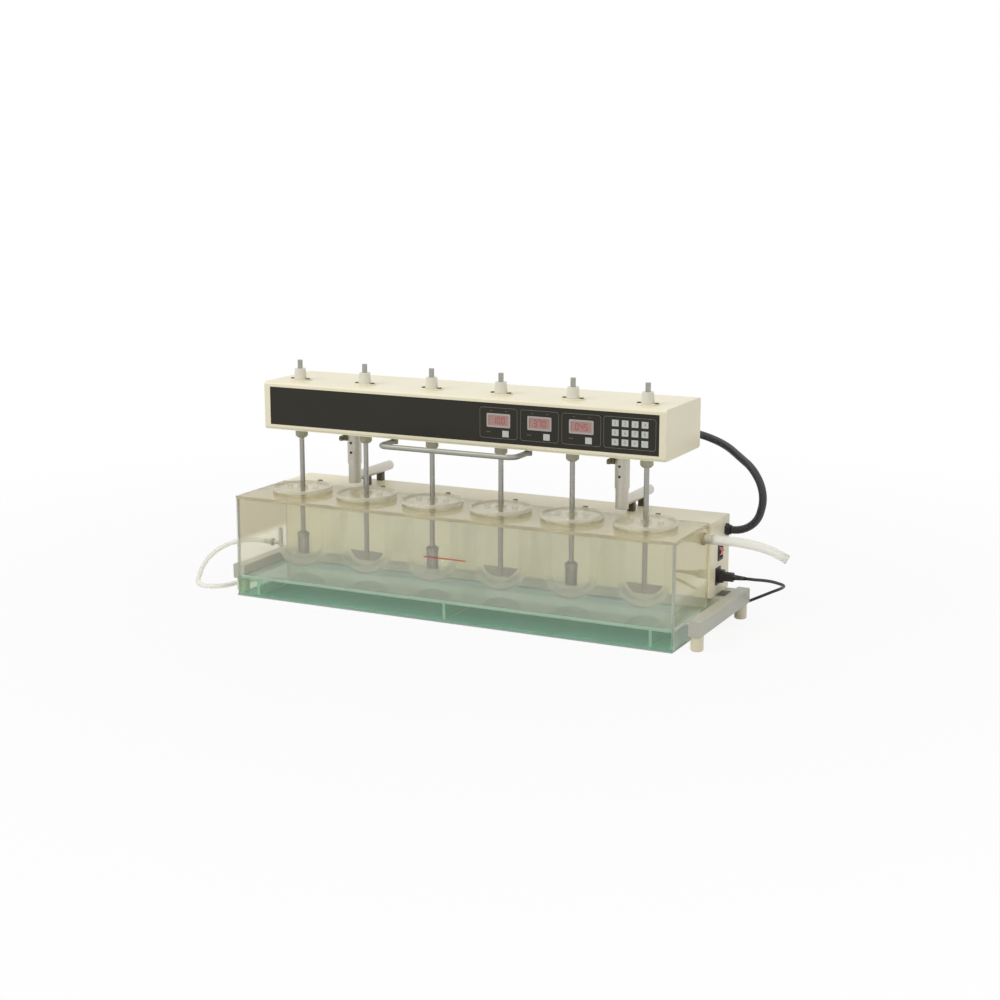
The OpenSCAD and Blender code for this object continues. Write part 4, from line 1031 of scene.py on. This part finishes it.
# %% Drive the screws
ORIGIN = Vector((0, 0, 0))
FRONTWARD, BACKWARD = (0, -1, 0), (0, 1, 0)
HEAD_TOP, HEAD_BACK, CABINET_BACK, SLEEVE_FRONT = 437, 132.5, 189.3, 60.6


def slotted_head(radius, height, axis):
    """A cheese head with a straight slot, its seat at the origin."""
    profile = [(0, 0), (radius, 0), (radius, height * 0.7), (radius * 0.8, height), (0, height)]
    head = turned([(profile, ORIGIN, axis)], sides=20)
    bm = bmesh.new()
    bmesh.ops.create_cube(bm, size=1.0)
    up = Vector(axis)
    side = up.orthogonal().normalized()
    run = up.cross(side)
    for v in bm.verts:
        x, y, z = v.co
        v.co = (side * x * radius * 0.36 + run * y * radius * 3 + up * (height * (0.75 + z * 0.6))) / 1000
    return cut_away(head, finish_mesh(bm))


flange_points = [at(x + d, 0, HEAD_TOP) for x in STATIONS for d in (-17.6, 17.6)]
sleeve_points = [at(x, SLEEVE_FRONT, z) for x in (-296, 296) for z in (282, 302)]
head_back = [at(x, HEAD_BACK, z) for x in (-400, -133, 133, 400) for z in (352, 424)]
cabinet_back = [at(x, CABINET_BACK, z) for x in (-450, -150, 150, 450) for z in (72, 190)]
pin_points = [at(x - 4, 73, COVER + WALL + 0.05) for x in STATIONS]
pin_profile = [(0, 0), (3, 0), (3, 7), (4.6, 7), (5, 7.4), (5, 9.6), (4.6, 10), (0, 10)]
pin = turned([(pin_profile, ORIGIN, UPWARD)], sides=20)
back_screw = slotted_head(3.4, 1.8, BACKWARD)
set_out("flange_screws", slotted_head(4.2, 1.8, UPWARD), flange_points, "head", "bare_steel", dark_steel)
set_out("sleeve_screws", slotted_head(2.6, 1.6, FRONTWARD), sleeve_points, "head", "bare_steel", dark_steel)
set_out("cover_screws", pin, pin_points, "root", "black_plastic", dark_steel)
set_out("head_back_screws", back_screw, head_back, "head", "bare_steel", satin_metal)
set_out("cabinet_back_screws", back_screw, cabinet_back, "root", "bare_steel", satin_metal)
print("screws", len(flange_points), len(sleeve_points), len(pin_points), len(head_back), len(cabinet_back))

# %% [markdown]
# ## Baskets
# A basket holds a tablet in woven wire. Rings and uprights of fine wire stand just outside the slotted wall
# of the CAD solid. The tree draws both from a radius, a height and two counts.

# %% Weave the baskets
weave, given, given_out = node_tree(
    "wire_basket", Radius="Float", Height="Float", Rings="Int", Uprights="Int", Wire="Float",
    Finish="Material")
hoop = node(weave, "CurvePrimitiveCircle", {"Resolution": 40})
stack = node(weave, "MeshLine", mode="END_POINTS")
top = node(weave, "ShaderNodeCombineXYZ")
hoops = node(weave, "InstanceOnPoints")
circle = node(weave, "MeshCircle")
stick = node(weave, "CurvePrimitiveLine")
sticks = node(weave, "InstanceOnPoints")
together = node(weave, "JoinGeometry")
real = node(weave, "RealizeInstances")
section = node(weave, "CurvePrimitiveCircle", {"Resolution": 4})
wired = node(weave, "CurveToMesh")
coated = node(weave, "SetMaterial")
link(weave, (given, "Radius", hoop, "Radius"), (given, "Radius", circle, "Radius"),
     (given, "Height", top, "Z"), (given, "Rings", stack, "Count"), (given, "Uprights", circle, "Vertices"),
     (given, "Wire", section, "Radius"), (given, "Finish", coated, "Material"), (top, 0, stack, "Offset"),
     (stack, "Mesh", hoops, "Points"), (hoop, "Curve", hoops, "Instance"), (top, 0, stick, "End"),
     (circle, "Mesh", sticks, "Points"), (stick, "Curve", sticks, "Instance"),
     (hoops, "Instances", together, "Geometry"), (sticks, "Instances", together, "Geometry"),
     (together, "Geometry", real, "Geometry"), (real, "Geometry", wired, "Curve"),
     (section, "Curve", wired, "Profile Curve"), (wired, "Mesh", coated, "Geometry"),
     (coated, "Geometry", given_out, "Geometry"))
BASKET_LOW = 78.5
BASKET = {"Radius": 0.01125, "Height": 0.034, "Rings": 20, "Uprights": 40, "Wire": 0.00014,
          "Finish": turned_steel}
for n in (1, 3, 5):
    mesh = plain_result(points_mesh([ORIGIN]), weave, BASKET)
    mesh.transform(Matrix.Translation(at(STATIONS[n - 1], 0, BASKET_LOW)))
    new_piece(f"basket_wire_{n}", mesh, f"stirrer_{n}", "bare_steel")
    print("basket", n, len(mesh.polygons), "faces")

# %% [markdown]
# ## Key legends
# The keypad's caps carry plain figures. Each figure is a text curve turned to a mesh, set on its cap and
# riding on that key, so it moves when the key is pressed.

# %% Print the keys
legend_ink = finish("legend_ink", (138, 139, 131), (126, 127, 120), (0.5, 0.6))
LEGENDS = ("1234", "5678", "90+-")
FIGURE_SIZE, FIGURE_DEPTH, FIGURE_LIFT = 0.0085, 0.00006, 0.00003


def figure_mesh(text):
    curve = bpy.data.curves.new("figure", "FONT")
    curve.body = text
    curve.size = FIGURE_SIZE
    curve.align_x = "CENTER"
    curve.align_y = "CENTER"
    curve.extrude = FIGURE_DEPTH
    return worked_mesh(placed("figure", curve))


for row, legends in enumerate(LEGENDS):
    for column, text in enumerate(legends):
        place = f"{row + 1}_{column + 1}"
        key = "key_" + place
        low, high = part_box(key)
        face = Vector(((low.x + high.x) / 2, low.y - FIGURE_LIFT, (low.z + high.z) / 2))
        mesh = figure_mesh(text)
        mesh.transform(Matrix.Translation(face) @ UPRIGHT)
        mesh.materials.clear()
        new_piece("legend_" + place, mesh, key, "panel_black", legend_ink)
print("legends", sum(len(x) for x in LEGENDS))

# %% Measure and finish
low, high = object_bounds()
print("visual box", low[:], high[:])
